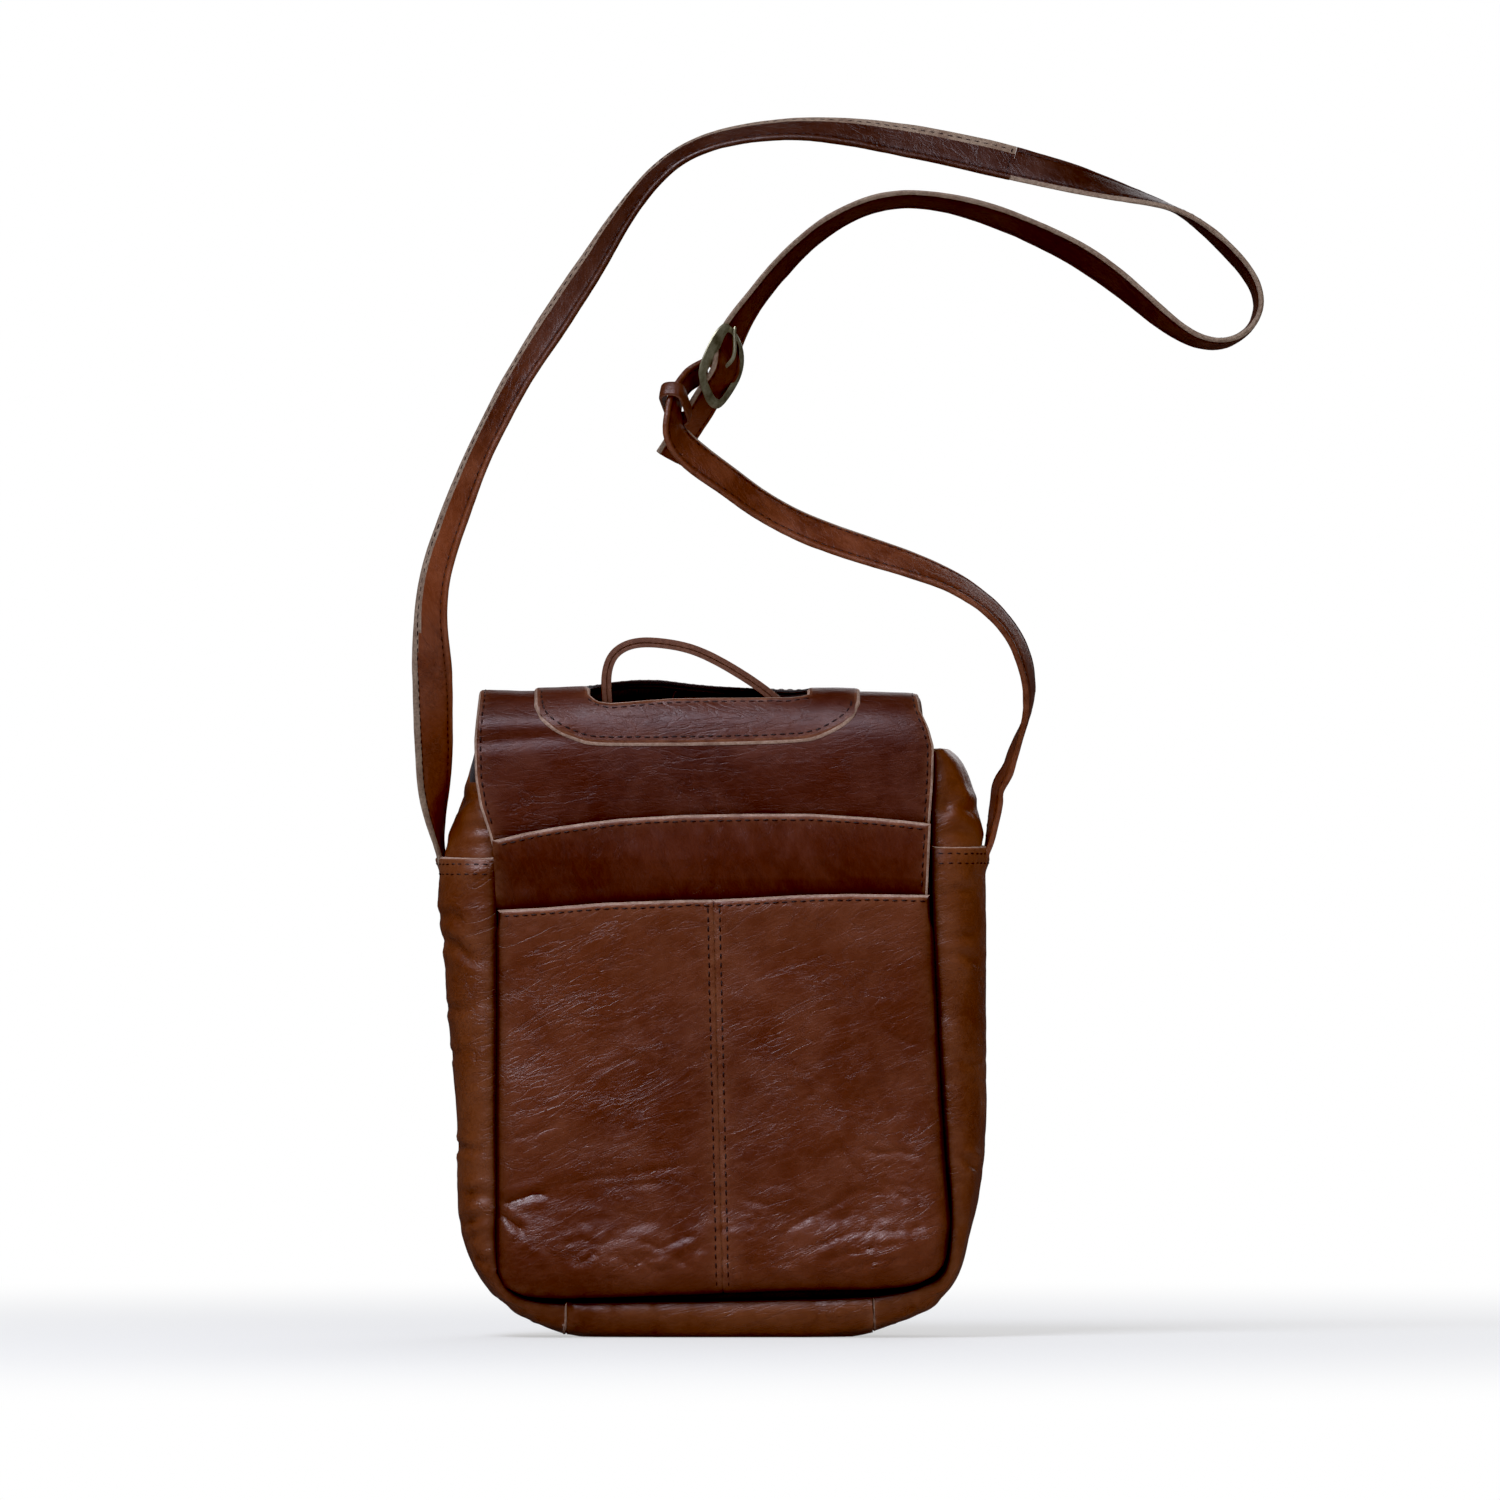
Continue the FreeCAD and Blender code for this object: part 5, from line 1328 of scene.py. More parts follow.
def rounded(outline, to_s):
    """Outline turned to (x, s), with its corners cut three times."""
    points = np.array([(x, float(to_s(value))) for x, value in outline])
    for _ in range(3):
        points = np.concatenate([points[:1], cut_corners(points[:-1], points[1:]), points[-1:]])
    return points


def bend_back(ob, slot, *nodes):
    """Hides the CAD nodes the piece replaces and bakes its transform."""
    if nodes:
        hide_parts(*nodes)
    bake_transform(ob)


def bend_front(ob, slot, *nodes):
    """Hides the CAD nodes the piece replaces and bakes its transform."""
    if nodes:
        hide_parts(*nodes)
    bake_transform(ob)


# the fourth material, black lining, goes on plain edges and, round the slot's front side, on cut
# edges as lining and painted shade
HOLED_SKIN = [FLAP, RAW, SUEDE, LINING]

x, s, hole = holed_grid(1.0, S_SPLIT, FLAP_LEFT, FLAP_RIGHT, grow=0.9, low_rows=42, high_rows=6)
grid = flap_points(x, s, -FLAP_HALF)
above_band = (grid[..., 2] - lookup(grid[..., 0], BAND_TOP) - 0.5) / 2.2
band_shadow = np.exp(-above_band.clip(0, 9)) * (grid[..., 1] < -20) * (grid[..., 2] < 235)
flap_back = sheet("flap_rise_leather", grid, HOLED_SKIN, flap_facing(grid), hole=hole,
                  raw=shows_cut, shade=0.5 * band_shadow, plain=(LAST_ROW,), wear_reach=5.0)
bend_back(flap_back.ob, "flap_leather", "flap_rear", "flap_top")

DROP = S_END - S_SPLIT
drop_rows = int(DROP / 2.0)
grid = flap_points(*drop_grid(S_END, 1.0 / drop_rows, 2.3 / DROP, inset=0), -FLAP_HALF)
flap_front = sheet("flap_drop_leather", grid, [FLAP, RAW, SUEDE], flap_facing(grid),
                   plain=(FIRST_ROW,), wear_reach=5.0)
bend_front(flap_front.ob, "flap_leather", "flap_front")

x, s, hole = holed_grid(30.0, S_SPLIT, shifted(FLAP_LEFT, LINING_INSET),
                        shifted(FLAP_RIGHT, -LINING_INSET), grow=1.6, low_rows=26, high_rows=6)
grid = flap_points(x, s, LINING_OFFSET)
piece = sheet("flap_lining_rise", grid, [LINING], flap_facing(grid), thick=0.5, chamfer=0.3,
              hole=hole)
bend_back(piece.ob, "black_lining", "flap_lining_top")

grid = flap_points(*drop_grid(S_END - 4, 1.0 / (drop_rows * 0.6), 0.01, inset=LINING_INSET),
                   LINING_OFFSET)
piece = sheet("flap_lining_drop", grid, [LINING], flap_facing(grid), thick=0.5, chamfer=0.3)
bend_front(piece.ob, "black_lining", "flap_lining_front")

patch_low, patch_high = rounded(PATCH_BACK, s_on_rise), rounded(PATCH_FRONT, s_on_crest)
x, s, hole = holed_grid(patch_low, patch_high, PATCH_LEFT, PATCH_RIGHT, grow=0.0, low_rows=13,
                        high_rows=10, step=1.6)
grid = flap_points(x, s, FLAP_HALF + 0.05)
patch = sheet("slot_patch_leather", grid, HOLED_SKIN, flap_facing(grid), thick=1.3,
              chamfer=1.55, hole=hole, raw=shows_cut, wear_reach=4.0)
bend_back(patch.ob, "flap_leather", "slot_patch_rear", "slot_patch_top")


# ================================================================== GRAB HANDLE
# centre line (x, z) of the two-ply arch, left to right
ARCH = [(-43.9, 262.2), (-44.6, 269.0), (-45.0, 276.5), (-44.2, 283.5), (-41.6, 288.8),
        (-36.5, 292.4), (-28.6, 293.9), (-20.5, 293.4), (-12.0, 291.8), (-4.0, 289.0),
        (4.0, 285.0), (11.8, 280.4), (19.0, 275.6), (25.2, 270.8), (30.0, 266.0), (32.6, 262.6)]
HANDLE_Y, HANDLE_WIDTH, PLY = -10.6, 11.8, 2.1

arch = spline([(x, 0, z) for x, z in ARCH], step=1.2)
arch_along = unit(np.gradient(arch, axis=0))
arch_out = np.stack([-arch_along[:, 2], 0 * arch_along[:, 0], arch_along[:, 0]], -1)[:, None]
for place, offset, seed in (("outer", 0.0, 41), ("inner", -PLY, 42)):
    y = HANDLE_Y + ticks(-HANDLE_WIDTH / 2, HANDLE_WIDTH / 2, step=1.0, first=1.5)
    grid = arch[:, None] + arch_out * offset + np.array([0, 1, 0]) * y[None, :, None]
    grid = grid + arch_out * 0.05 * clouds(grid, size=9, octaves=2, seed=seed)[..., None]
    piece = sheet(f"handle_{place}_leather", grid, [HANDLE, RAW_DARK, SUEDE, HANDLE], arch_out,
                  thick=PLY, chamfer=0.6, wear_reach=2.5)
    attach(piece.ob, "strap_leather", "grab_handle", f"handle_{place}_ply")


# ================================================================== SHOULDER STRAP
# stations (x, y, z, twist in degrees about the centre line)
STRAP_LONG = [
    (-114.0, 0.0, 199.5, -86.0), (-114.7, -0.3, 204.5, -84.0), (-115.6, -1.6, 210.0, -79.0),
    (-116.5, -4.4, 217.5, -67.0), (-117.1, -7.8, 225.3, -53.0), (-117.4, -12.0, 233.5, -39.0),
    (-117.4, -17.0, 241.8, -29.0), (-117.34, -22.89, 250.06, -22.1),
    (-117.50, -30.08, 258.46, -17.5), (-117.52, -37.31, 266.86, -10.9),
    (-117.59, -44.22, 275.27, -0.7), (-117.76, -50.40, 283.67, 12.5),
    (-118.04, -55.50, 292.06, 24.5), (-118.19, -59.12, 300.46, 32.8),
    (-117.93, -61.11, 308.86, 37.9), (-116.97, -61.82, 317.19, 40.9),
    (-115.27, -61.94, 325.41, 42.8), (-112.95, -61.94, 333.48, 44.3),
    (-110.19, -61.94, 341.42, 45.8), (-107.27, -61.93, 349.30, 47.5),
    (-104.32, -61.93, 357.16, 49.2), (-101.21, -61.93, 364.97, 50.7),
    (-97.88, -61.92, 372.68, 51.7), (-94.28, -61.92, 380.27, 52.3), (-90.50, -61.92, 387.78, 52.2),
    (-86.63, -61.91, 395.23, 51.5), (-82.53, -61.91, 402.57, 50.2), (-78.18, -61.90, 409.75, 48.5),
    (-73.68, -61.90, 416.85, 46.6), (-69.10, -61.90, 423.90, 45.1), (-64.49, -61.89, 430.92, 44.3),
    (-59.88, -61.89, 437.94, 44.6), (-55.24, -61.89, 444.95, 46.3), (-50.64, -61.88, 451.98, 49.1),
    (-46.17, -61.88, 459.09, 52.8), (-41.75, -61.87, 466.24, 56.7), (-37.07, -61.87, 473.21, 60.2),
    (-32.05, -61.87, 479.95, 63.1), (-26.67, -61.86, 486.40, 65.0), (-20.73, -61.86, 492.31, 66.1),
    (-13.99, -61.85, 497.27, 66.5), (-6.53, -61.85, 501.11, 66.2), (1.36, -61.85, 503.92, 65.6),
    (9.53, -61.84, 505.87, 64.7), (17.81, -61.84, 507.26, 63.5), (26.16, -61.84, 508.20, 61.7),
    (34.54, -61.83, 508.63, 59.2), (42.94, -61.83, 508.50, 55.8), (51.32, -61.82, 507.92, 51.6),
    (59.68, -61.82, 507.05, 47.2), (67.99, -61.82, 505.87, 42.9), (76.28, -61.81, 504.49, 39.1),
    (84.56, -61.81, 503.07, 35.9), (92.81, -61.81, 501.49, 33.4), (101.04, -61.80, 499.77, 31.6),
    (109.24, -61.80, 497.96, 30.7), (117.43, -61.79, 496.08, 30.9), (125.61, -61.79, 494.13, 32.7)]
STRAP_ADJUSTING = [
    STRAP_LONG[-1], (133.75, -61.79, 492.04, 36.1), (141.88, -61.78, 489.95, 40.9),
    (149.98, -61.78, 487.71, 46.8), (158.08, -61.77, 485.47, 53.6), (166.16, -61.77, 483.17, 61.3),
    (174.25, -61.77, 480.92, 69.7), (182.34, -61.76, 478.66, 78.2), (190.30, -61.76, 475.96, 86.2),
    (197.89, -61.76, 472.43, 93.2), (204.79, -61.75, 467.69, 98.6),
    (211.14, -61.75, 462.19, 102.3), (217.13, -61.74, 456.30, 104.0),
    (222.59, -61.74, 449.95, 103.6), (226.84, -61.74, 442.75, 101.3),
    (228.35, -61.73, 434.74, 97.3), (225.87, -61.73, 427.01, 92.1), (220.04, -61.73, 421.29, 86.2),
    (212.25, -61.72, 418.86, 80.2), (204.04, -61.72, 419.73, 74.7), (196.45, -61.72, 423.13, 69.9),
    (189.59, -61.71, 427.95, 65.9), (183.07, -61.71, 433.25, 62.6), (176.67, -61.70, 438.69, 60.1),
    (170.19, -61.70, 444.04, 58.1), (163.47, -61.70, 449.08, 56.8), (156.51, -61.69, 453.78, 56.2),
    (149.28, -61.69, 458.05, 56.3), (141.80, -61.68, 461.88, 57.0), (134.19, -61.68, 465.45, 58.1),
    (126.50, -61.68, 468.82, 59.7), (118.67, -61.67, 471.87, 61.7), (110.70, -61.67, 474.51, 63.9),
    (102.58, -61.67, 476.66, 66.1), (94.33, -61.66, 478.21, 67.9), (85.99, -61.66, 479.11, 69.0),
    (77.60, -61.65, 479.12, 69.3), (69.34, -61.65, 477.81, 69.2), (61.39, -61.65, 475.18, 68.6),
    (53.78, -61.64, 471.64, 67.9), (46.62, -61.64, 467.28, 67.0), (40.04, -61.63, 462.08, 66.1),
    (33.90, -61.63, 456.34, 65.2), (28.12, -61.63, 450.25, 64.3), (22.64, -61.62, 443.88, 63.6),
    (17.46, -61.62, 437.28, 62.7), (12.63, -61.62, 430.40, 57.9), (8.50, -61.61, 423.11, 51.6),
    (5.21, -61.58, 415.39, 50.0), (2.18, -61.31, 407.55, 50.0), (-1.03, -59.61, 399.79, 50.0),
    (-4.81, -54.80, 392.30, 50.2), (-9.35, -47.33, 385.24, 51.0), (-14.11, -40.01, 378.39, 50.7),
    (-18.69, -35.22, 371.28, 49.0)]
STRAP_SHORT = [
    (-2.73, -59.63, 407.40, 56.4), (-8.53, -61.74, 404.54, 61.5), (-12.97, -65.83, 399.77, 68.9),
    (-15.48, -70.71, 393.83, 71.3), (-15.98, -74.61, 387.31, 64.7), (-15.42, -75.85, 380.87, 53.9),
    (-12.04, -75.06, 375.40, 44.7), (-7.16, -73.81, 370.83, 40.6), (-2.00, -72.73, 366.85, 41.3),
    (3.27, -71.46, 363.12, 43.7), (8.53, -69.65, 359.36, 44.8), (13.76, -67.52, 355.48, 44.8),
    (19.13, -65.46, 351.80, 45.2), (24.69, -63.31, 348.42, 45.4), (30.40, -62.12, 345.32, 45.6),
    (36.26, -62.00, 342.49, 45.7), (42.24, -62.00, 339.92, 45.5), (48.32, -62.00, 337.60, 45.4),
    (54.45, -62.00, 335.43, 45.6), (60.63, -62.00, 333.40, 46.3), (66.82, -62.00, 331.39, 47.6),
    (73.02, -62.00, 329.41, 49.2), (79.20, -62.00, 327.40, 51.3), (85.33, -62.00, 325.20, 53.9),
    (91.43, -62.00, 322.95, 56.7), (97.41, -62.00, 320.38, 59.4), (103.17, -62.00, 317.37, 61.9),
    (108.68, -62.01, 313.91, 64.1), (113.91, -61.90, 310.04, 65.7), (118.70, -61.29, 305.63, 66.7),
    (122.94, -59.95, 300.71, 67.3), (126.52, -57.72, 295.28, 67.8), (129.35, -54.57, 289.42, 68.9),
    (131.37, -50.55, 283.24, 71.2), (132.52, -45.76, 276.84, 74.8), (132.73, -40.45, 270.35, 79.1),
    (131.90, -34.88, 263.90, 84.5), (130.16, -29.36, 257.63, 91.5), (127.92, -24.00, 251.52, 98.0),
    (125.67, -18.85, 245.42, 102.1), (123.27, -14.08, 239.37, 104.3), (120.3, -9.6, 233.4, 105.0),
    (119.2, -6.2, 227.0, 104.0), (118.2, -3.6, 221.0, 102.0), (117.1, -1.6, 215.0, 98.7),
    (116.0, -0.4, 209.0, 94.0), (114.6, 0.0, 203.5, 90.0), (113.6, 0.0, 198.5, 90.0)]

STRAP_WIDTH, STRAP_THICK, STRAP_STEP = 17.0, 2.6, 1.8
HALF_WIDTH, HALF_THICK = STRAP_WIDTH / 2, STRAP_THICK / 2
# half section (inset from the nearer edge, height in half thicknesses), each with a stitch groove
FOLDED_SIDE = [(0.0, 0.0), (0.12, 0.45), (0.45, 0.80), (1.0, 0.98), (1.9, 1.0), (2.5, 0.80),
               (3.1, 0.98), (4.6, 1.10)]
MIDDLE = [(-2.4, 1.14), (0, 1.10), (2.4, 1.14)]
CUT_SIDE = [(4.6, 1.08), (3.2, 0.96), (2.6, 0.78), (2.0, 0.94), (1.5, 0.86), (0.75, 0.62),
            (0.15, 0.36)]
TOP_SECTION = ([(inset - HALF_WIDTH, h) for inset, h in FOLDED_SIDE] + MIDDLE
               + [(HALF_WIDTH - inset, h) for inset, h in CUT_SIDE])
SECTION = np.array(TOP_SECTION + [(HALF_WIDTH + 0.02, 0.12), (HALF_WIDTH + 0.02, -0.12)]
                   + [(u, -h) for u, h in TOP_SECTION[::-1] if h > 0]) * (1, HALF_THICK)

# buckle: centre, and its axes along the strap, across the bar and out of its face
BUCKLE = np.array([3.57, -62.0, 409.1])
BUCKLE_ALONG = np.array([-0.375, 0, -0.927])
TILT = math.radians(50)
level = np.array([0.927, 0, -0.375])
BUCKLE_ACROSS = level * math.cos(TILT) + np.array([0, 1, 0]) * math.sin(TILT)
BUCKLE_FACE = level * math.sin(TILT) - np.array([0, 1, 0]) * math.cos(TILT)

Path = namedtuple("Path", "centre along across face")


def squared_path(centre, across):
    """Frame along a centre line, with the across direction squared up to it."""
    along = unit(np.gradient(centre, axis=0))
    across = unit(across - along * (across * along).sum(1, keepdims=True))
    return Path(centre, along, across, unit(np.cross(along, across)))


def strap_path(stations):
    curve = spline(stations, step=STRAP_STEP)
    centre = curve[:, :3]
    along = unit(np.gradient(centre, axis=0))
    side = unit(np.stack([-along[:, 2], 0 * along[:, 0], along[:, 0]], -1))
    deep = unit(np.cross(side, along))
    deep = np.where(deep[:, 1:2] < 0, -deep, deep)
    twist = np.radians(curve[:, 3:4])
    return squared_path(centre, unit(side * np.cos(twist) + deep * np.sin(twist)))


def over_buckle(path, lift, slip):
    """Humps the strap out and shifts it sideways where it passes the buckle."""
    past = (path.centre - BUCKLE) @ BUCKLE_ALONG
    centre = (path.centre + path.face * (lift * hill(past, 8.0))[:, None]
              + BUCKLE_ACROSS * (slip * hill(past + 3, 8.0))[:, None])
    return squared_path(centre, path.across)


def strap_piece(name, path, raw_side, seed, slant=0.0, cut=3):
    """Strap length; raw_side turns the cut edge over, cut is how many faces wide it shows."""
    u, h = SECTION[:, 0] * raw_side, SECTION[:, 1]
    rows, cols = len(path.centre), len(SECTION)
    along = np.arange(rows)[:, None] * STRAP_STEP + 0 * u
    spot = np.stack(np.broadcast_arrays(along, u, seed * 13.0 + np.sign(h) * 40), -1)
    relief = (0.16 * clouds(spot, size=14, octaves=3, seed=seed)
              - 0.16 * ridges(spot * np.array([1.4, 0.7, 1]), size=12, octaves=2, seed=seed + 2))
    height = h + np.sign(h) * relief * np.clip(np.abs(h) / HALF_THICK, 0, 1)
    along_only = np.stack([along, np.full_like(along, seed), 0 * along], -1)
    waver = 0.22 * clouds(along_only, size=16, octaves=2, seed=seed + 5)
    width = u + waver * np.sign(u) * (np.abs(u) > 5)
    grid = (path.centre[:, None] + path.across[:, None] * width[..., None]
            + path.face[:, None] * height[..., None])
    # the free end is cut at an angle
    from_end = (rows - 1 - np.arange(rows)) * STRAP_STEP
    skew = np.sign(path.across[-1, 0]) * width * slant / STRAP_WIDTH
    grid = grid + path.along[:, None] * (skew * hill(from_end, 5.0)[:, None])[..., None]
    verts = grid.reshape(-1, 3)

    index = np.arange(rows * cols).reshape(rows, cols)
    beside = np.roll(index, -1, axis=1)
    quads = np.stack([index[:-1], beside[:-1], beside[1:], index[1:]], -1).reshape(-1, 4)
    faces = quads.tolist() + [index[0][::-1].tolist(), index[-1].tolist()]
    outward = verts[faces[0]].mean(0) - path.centre[:2].mean(0)
    faces = turned_out(faces, verts, 0, outward)

    corner = len(TOP_SECTION)
    mat_index = np.zeros((rows - 1, cols), int)
    mat_index[:, corner - cut:corner + 4] = 1
    if cut > 3:
        # where the cut edge turns away from the camera its margin shows wider
        away = path.across[:-1, 1] * raw_side
        mat_index[away > 0.30, corner - cut - 1] = 1
        mat_index[away > 0.45, corner - cut - 2] = 1
    mat_index = mat_index.ravel().tolist() + [1, 1]
    out = np.abs(width)
    wear = np.where(out > 7.5, 0.5, np.where(out > 6.7, 0.2, 0.0))
    # painted shade in the stitch grooves
    groove = 0.35 * hill(out - 6.0, 0.55)
    return make(name, verts, faces, [STRAP, RAW_STRAP], mat_index,
                {"wear": wear.ravel(), "shade": groove.ravel()}, angle=62)


def strap_stitches(thread, path, first):
    """Two rows on both faces, from a first distance to near the end."""
    lengths = chord_lengths(path.centre)
    s = np.arange(first, lengths[-1] - 2.5, PITCH)
    centre, along, across, face = (
        np.stack([np.interp(s, lengths, values[:, k]) for k in range(3)], -1) for values in path)
    along, across, face = unit(along), unit(across), unit(face)
    draws = np.random.RandomState(5)
    for side in (-1, 1):
        for out in (-1, 1):
            shift = side * (HALF_WIDTH - 2.6) + draws.uniform(-0.12, 0.12, len(s))[:, None]
            skew = across * draws.uniform(-0.05, 0.05, len(s))[:, None]
            thread.add(centre + across * shift + face * out * (HALF_THICK * 0.80 + 0.02),
                       along + skew, face * out, length=PITCH * 0.72, width=0.6)


def blend_to_strap(ob):
    """Bakes the piece's transform into its mesh."""
    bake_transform(ob)


long_path = strap_path(STRAP_LONG)
adjusting_path = over_buckle(strap_path(STRAP_ADJUSTING), lift=5.0, slip=-2.4)
short_path = strap_path(STRAP_SHORT)
strap_long = strap_piece("strap_long_leather", long_path, 1, seed=51, cut=5)
strap_adjusting = strap_piece("strap_adjusting_leather", adjusting_path, -1, seed=52, slant=5.4)
strap_short = strap_piece("strap_short_leather", short_path, 1, seed=53)
for ob, node in ((strap_long, "strap_long"), (strap_short, "strap_short")):
    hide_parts(node)
    blend_to_strap(ob)
attach(strap_adjusting, "strap_leather", "shoulder_strap", "strap_adjusting_end")

for part, path, first in (("long", long_path, 16), ("adjusting", adjusting_path, 2),
                          ("short", short_path, 6)):
    thread = Thread(f"strap_{part}_stitching")
    strap_stitches(thread, path, first)
    ob = thread.build(THREAD)
    if part == "adjusting":
        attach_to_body(ob, "shoulder_strap")
    else:
        blend_to_strap(ob)

# cross row where the long and adjusting lengths meet
centre, _, across, face = (values[-2] for values in long_path)
thread = Thread("strap_join_stitching")
for out in (-1, 1):
    places = np.arange(-6.2, 6.3, 2.9)
    thread.add([centre + across * u + face * out * 1.42 for u in places],
               [across] * len(places), [face * out] * len(places), length=2.2, width=0.6)
attach(thread.build(THREAD), "strap_leather", "shoulder_strap")


def keeper():
    """Closed leather loop of rounded-rectangle section round the short strap."""
    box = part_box("strap_keeper")
    middle = np.array((box[0] + box[1]) / 2) * 1000
    k = int(np.argmin(np.linalg.norm(short_path.centre - middle, axis=1)))
    _, along, across, face = (values[k] for values in short_path)
    half_wide, half_high = HALF_WIDTH + 1.35, HALF_THICK + 2.6
    thick, half = 1.3, 7.0 / 2
    radius = min(half_high, half_wide) * 0.8
    corners = []
    for side_x, side_y, turn in ((1, 1, 0), (-1, 1, 90), (-1, -1, 180), (1, -1, 270)):
        for k in range(7):
            angle = math.radians(turn + 15 * k)
            corners.append((side_x * (half_wide - radius) + radius * math.cos(angle),
                            side_y * (half_high - radius) + radius * math.sin(angle)))
    outline = np.array(corners + [corners[0]])
    lengths = chord_lengths(outline)
    even = np.linspace(0, lengths[-1], 61)[:-1]
    outline = np.stack([np.interp(even, lengths, outline[:, k]) for k in (0, 1)], -1)
    slope = unit(np.roll(outline, -1, 0) - np.roll(outline, 1, 0))
    normals = np.stack([slope[:, 1], -slope[:, 0]], -1)
    # section (place along the strap, height in thicknesses): outer face, then inner face
    rounding = [(0, 0.15), (0.15, 0.6), (0.5, 0.92), (1.1, 1.0)]
    section = ([(inset - half, h) for inset, h in rounding] + [(0, 1.06)]
               + [(half - inset, h) for inset, h in rounding[::-1]]
               + [(half, 0.0), (0, 0.0), (-half, 0.0)])
    verts = []
    for point, normal in zip(outline, normals):
        for place, height in section:
            u, h = point + normal * height * thick
            verts.append(middle + along * place + across * u + face * h)
    verts = np.array(verts)
    size = len(section)
    faces, mat_index = [], []
    for i in range(len(outline)):
        a, b = i * size, (i + 1) % len(outline) * size
        for j in range(size):
            j2 = (j + 1) % size
            faces.append((a + j, a + j2, b + j2, b + j))
            mat_index.append(1 if j in (0, 1, 7, 8, 11) else 0)
    faces = turned_out(faces, verts, 4, verts[faces[4][0]] - middle)
    attrs = {"wear": np.full(len(verts), 0.25), "shade": np.zeros(len(verts))}
    ob = make("strap_keeper_leather", verts, faces, [STRAP, RAW_DARK], mat_index, attrs, angle=60)
    attach(ob, "strap_leather", "keeper", "strap_keeper")


keeper()

# short strap's folded end: two leather loops round the bar, with a gap for the prong
BAR_HEIGHT = 1.2
bar = BUCKLE + BUCKLE_FACE * BAR_HEIGHT
angles = np.radians(np.linspace(-70, 250, 29))[:, None, None] + math.pi
spokes = (BUCKLE_ALONG * np.cos(angles) + BUCKLE_FACE * np.sin(angles)) * 1.25
for place, low, high, nodes in (("lower", -7.6, -1.9, ("strap_short_fold",)),
                                ("upper", 1.9, 7.6, ())):
    widths = ticks(low, high, step=0.9, first=1.2)
    grid = bar + spokes + BUCKLE_ACROSS * widths[:, None]
    from_bar = grid - bar
    facing = from_bar - (from_bar @ BUCKLE_ACROSS)[..., None] * BUCKLE_ACROSS
    piece = sheet(f"strap_fold_{place}_leather", grid, [STRAP, RAW_DARK], facing, thick=1.2,
                  chamfer=0.35, wear_reach=2)
    attach(piece.ob, "strap_leather", "shoulder_strap", *nodes)


# ================================================================== METAL AND ZIP
# outer and inner outlines of the cast ring: (along the strap, across), from its centre
RING_OUT = [(-18.1, -4.6), (-13.7, 3.2), (-7.0, 7.8), (0.7, 9.4), (8.6, 8.4), (14.9, 6.8),
            (17.5, 4.9), (17.4, 1.5), (13.9, -2.9), (7.5, -7.6), (2.6, -8.7), (-4.2, -8.7),
            (-11.8, -8.1), (-16.2, -6.5)]
RING_IN = [(-14.7, -2.9), (-12.6, 1.7), (-9.6, 4.0), (-4.5, 6.0), (2.8, 6.4), (11.0, 5.2),
           (13.9, 3.9), (11.7, 0.5), (6.1, -4.9), (1.8, -4.4), (-5.5, -3.4), (-12.3, -3.4)]
# ring section (share from outer to inner rim, height in half depths), over the face and back
RING_SECTION = [(0.0, -0.45), (0.0, 0.35), (0.10, 0.80), (0.28, 1.0), (0.50, 1.05), (0.74, 0.98),
                (0.92, 0.72), (1.0, 0.30), (1.0, -0.45), (0.90, -0.85), (0.68, -1.0),
                (0.32, -1.0), (0.10, -0.85)]
RING_HEIGHT, RING_HALF_DEPTH = 2.6, 1.15
# prong centre line: (along the strap, across, out of the face), from the buckle's centre
PRONG = [(1.6, -3.0, 1.6), (0.6, -3.1, 3.2), (-2.0, -3.4, 6.0), (-5.5, -4.1, 7.6),
         (-10.5, -5.2, 6.6), (-15.0, -6.1, 4.9), (-17.6, -6.5, 4.1)]


def polar_outline(outline, angles, rounds):
    """Corner-cut closed outline, read where a ray from the centre meets it at each angle."""
    points = np.array(outline, float)
    for _ in range(rounds):
        points = cut_corners(points, np.roll(points, -1, 0))
    found = []
    for angle in angles:
        ray = np.array([math.cos(angle), math.sin(angle)])
        reach = 0
        for start, side in zip(points, np.roll(points, -1, 0) - points):
            cross = side[0] * ray[1] - ray[0] * side[1]
            if abs(cross) < 1e-9:
                continue
            distance = (side[0] * start[1] - start[0] * side[1]) / cross
            share = (ray[0] * start[1] - ray[1] * start[0]) / cross
            if distance > 0 and -1e-6 <= share <= 1 + 1e-6:
                reach = max(reach, distance)
        found.append(ray * reach)
    return np.array(found)


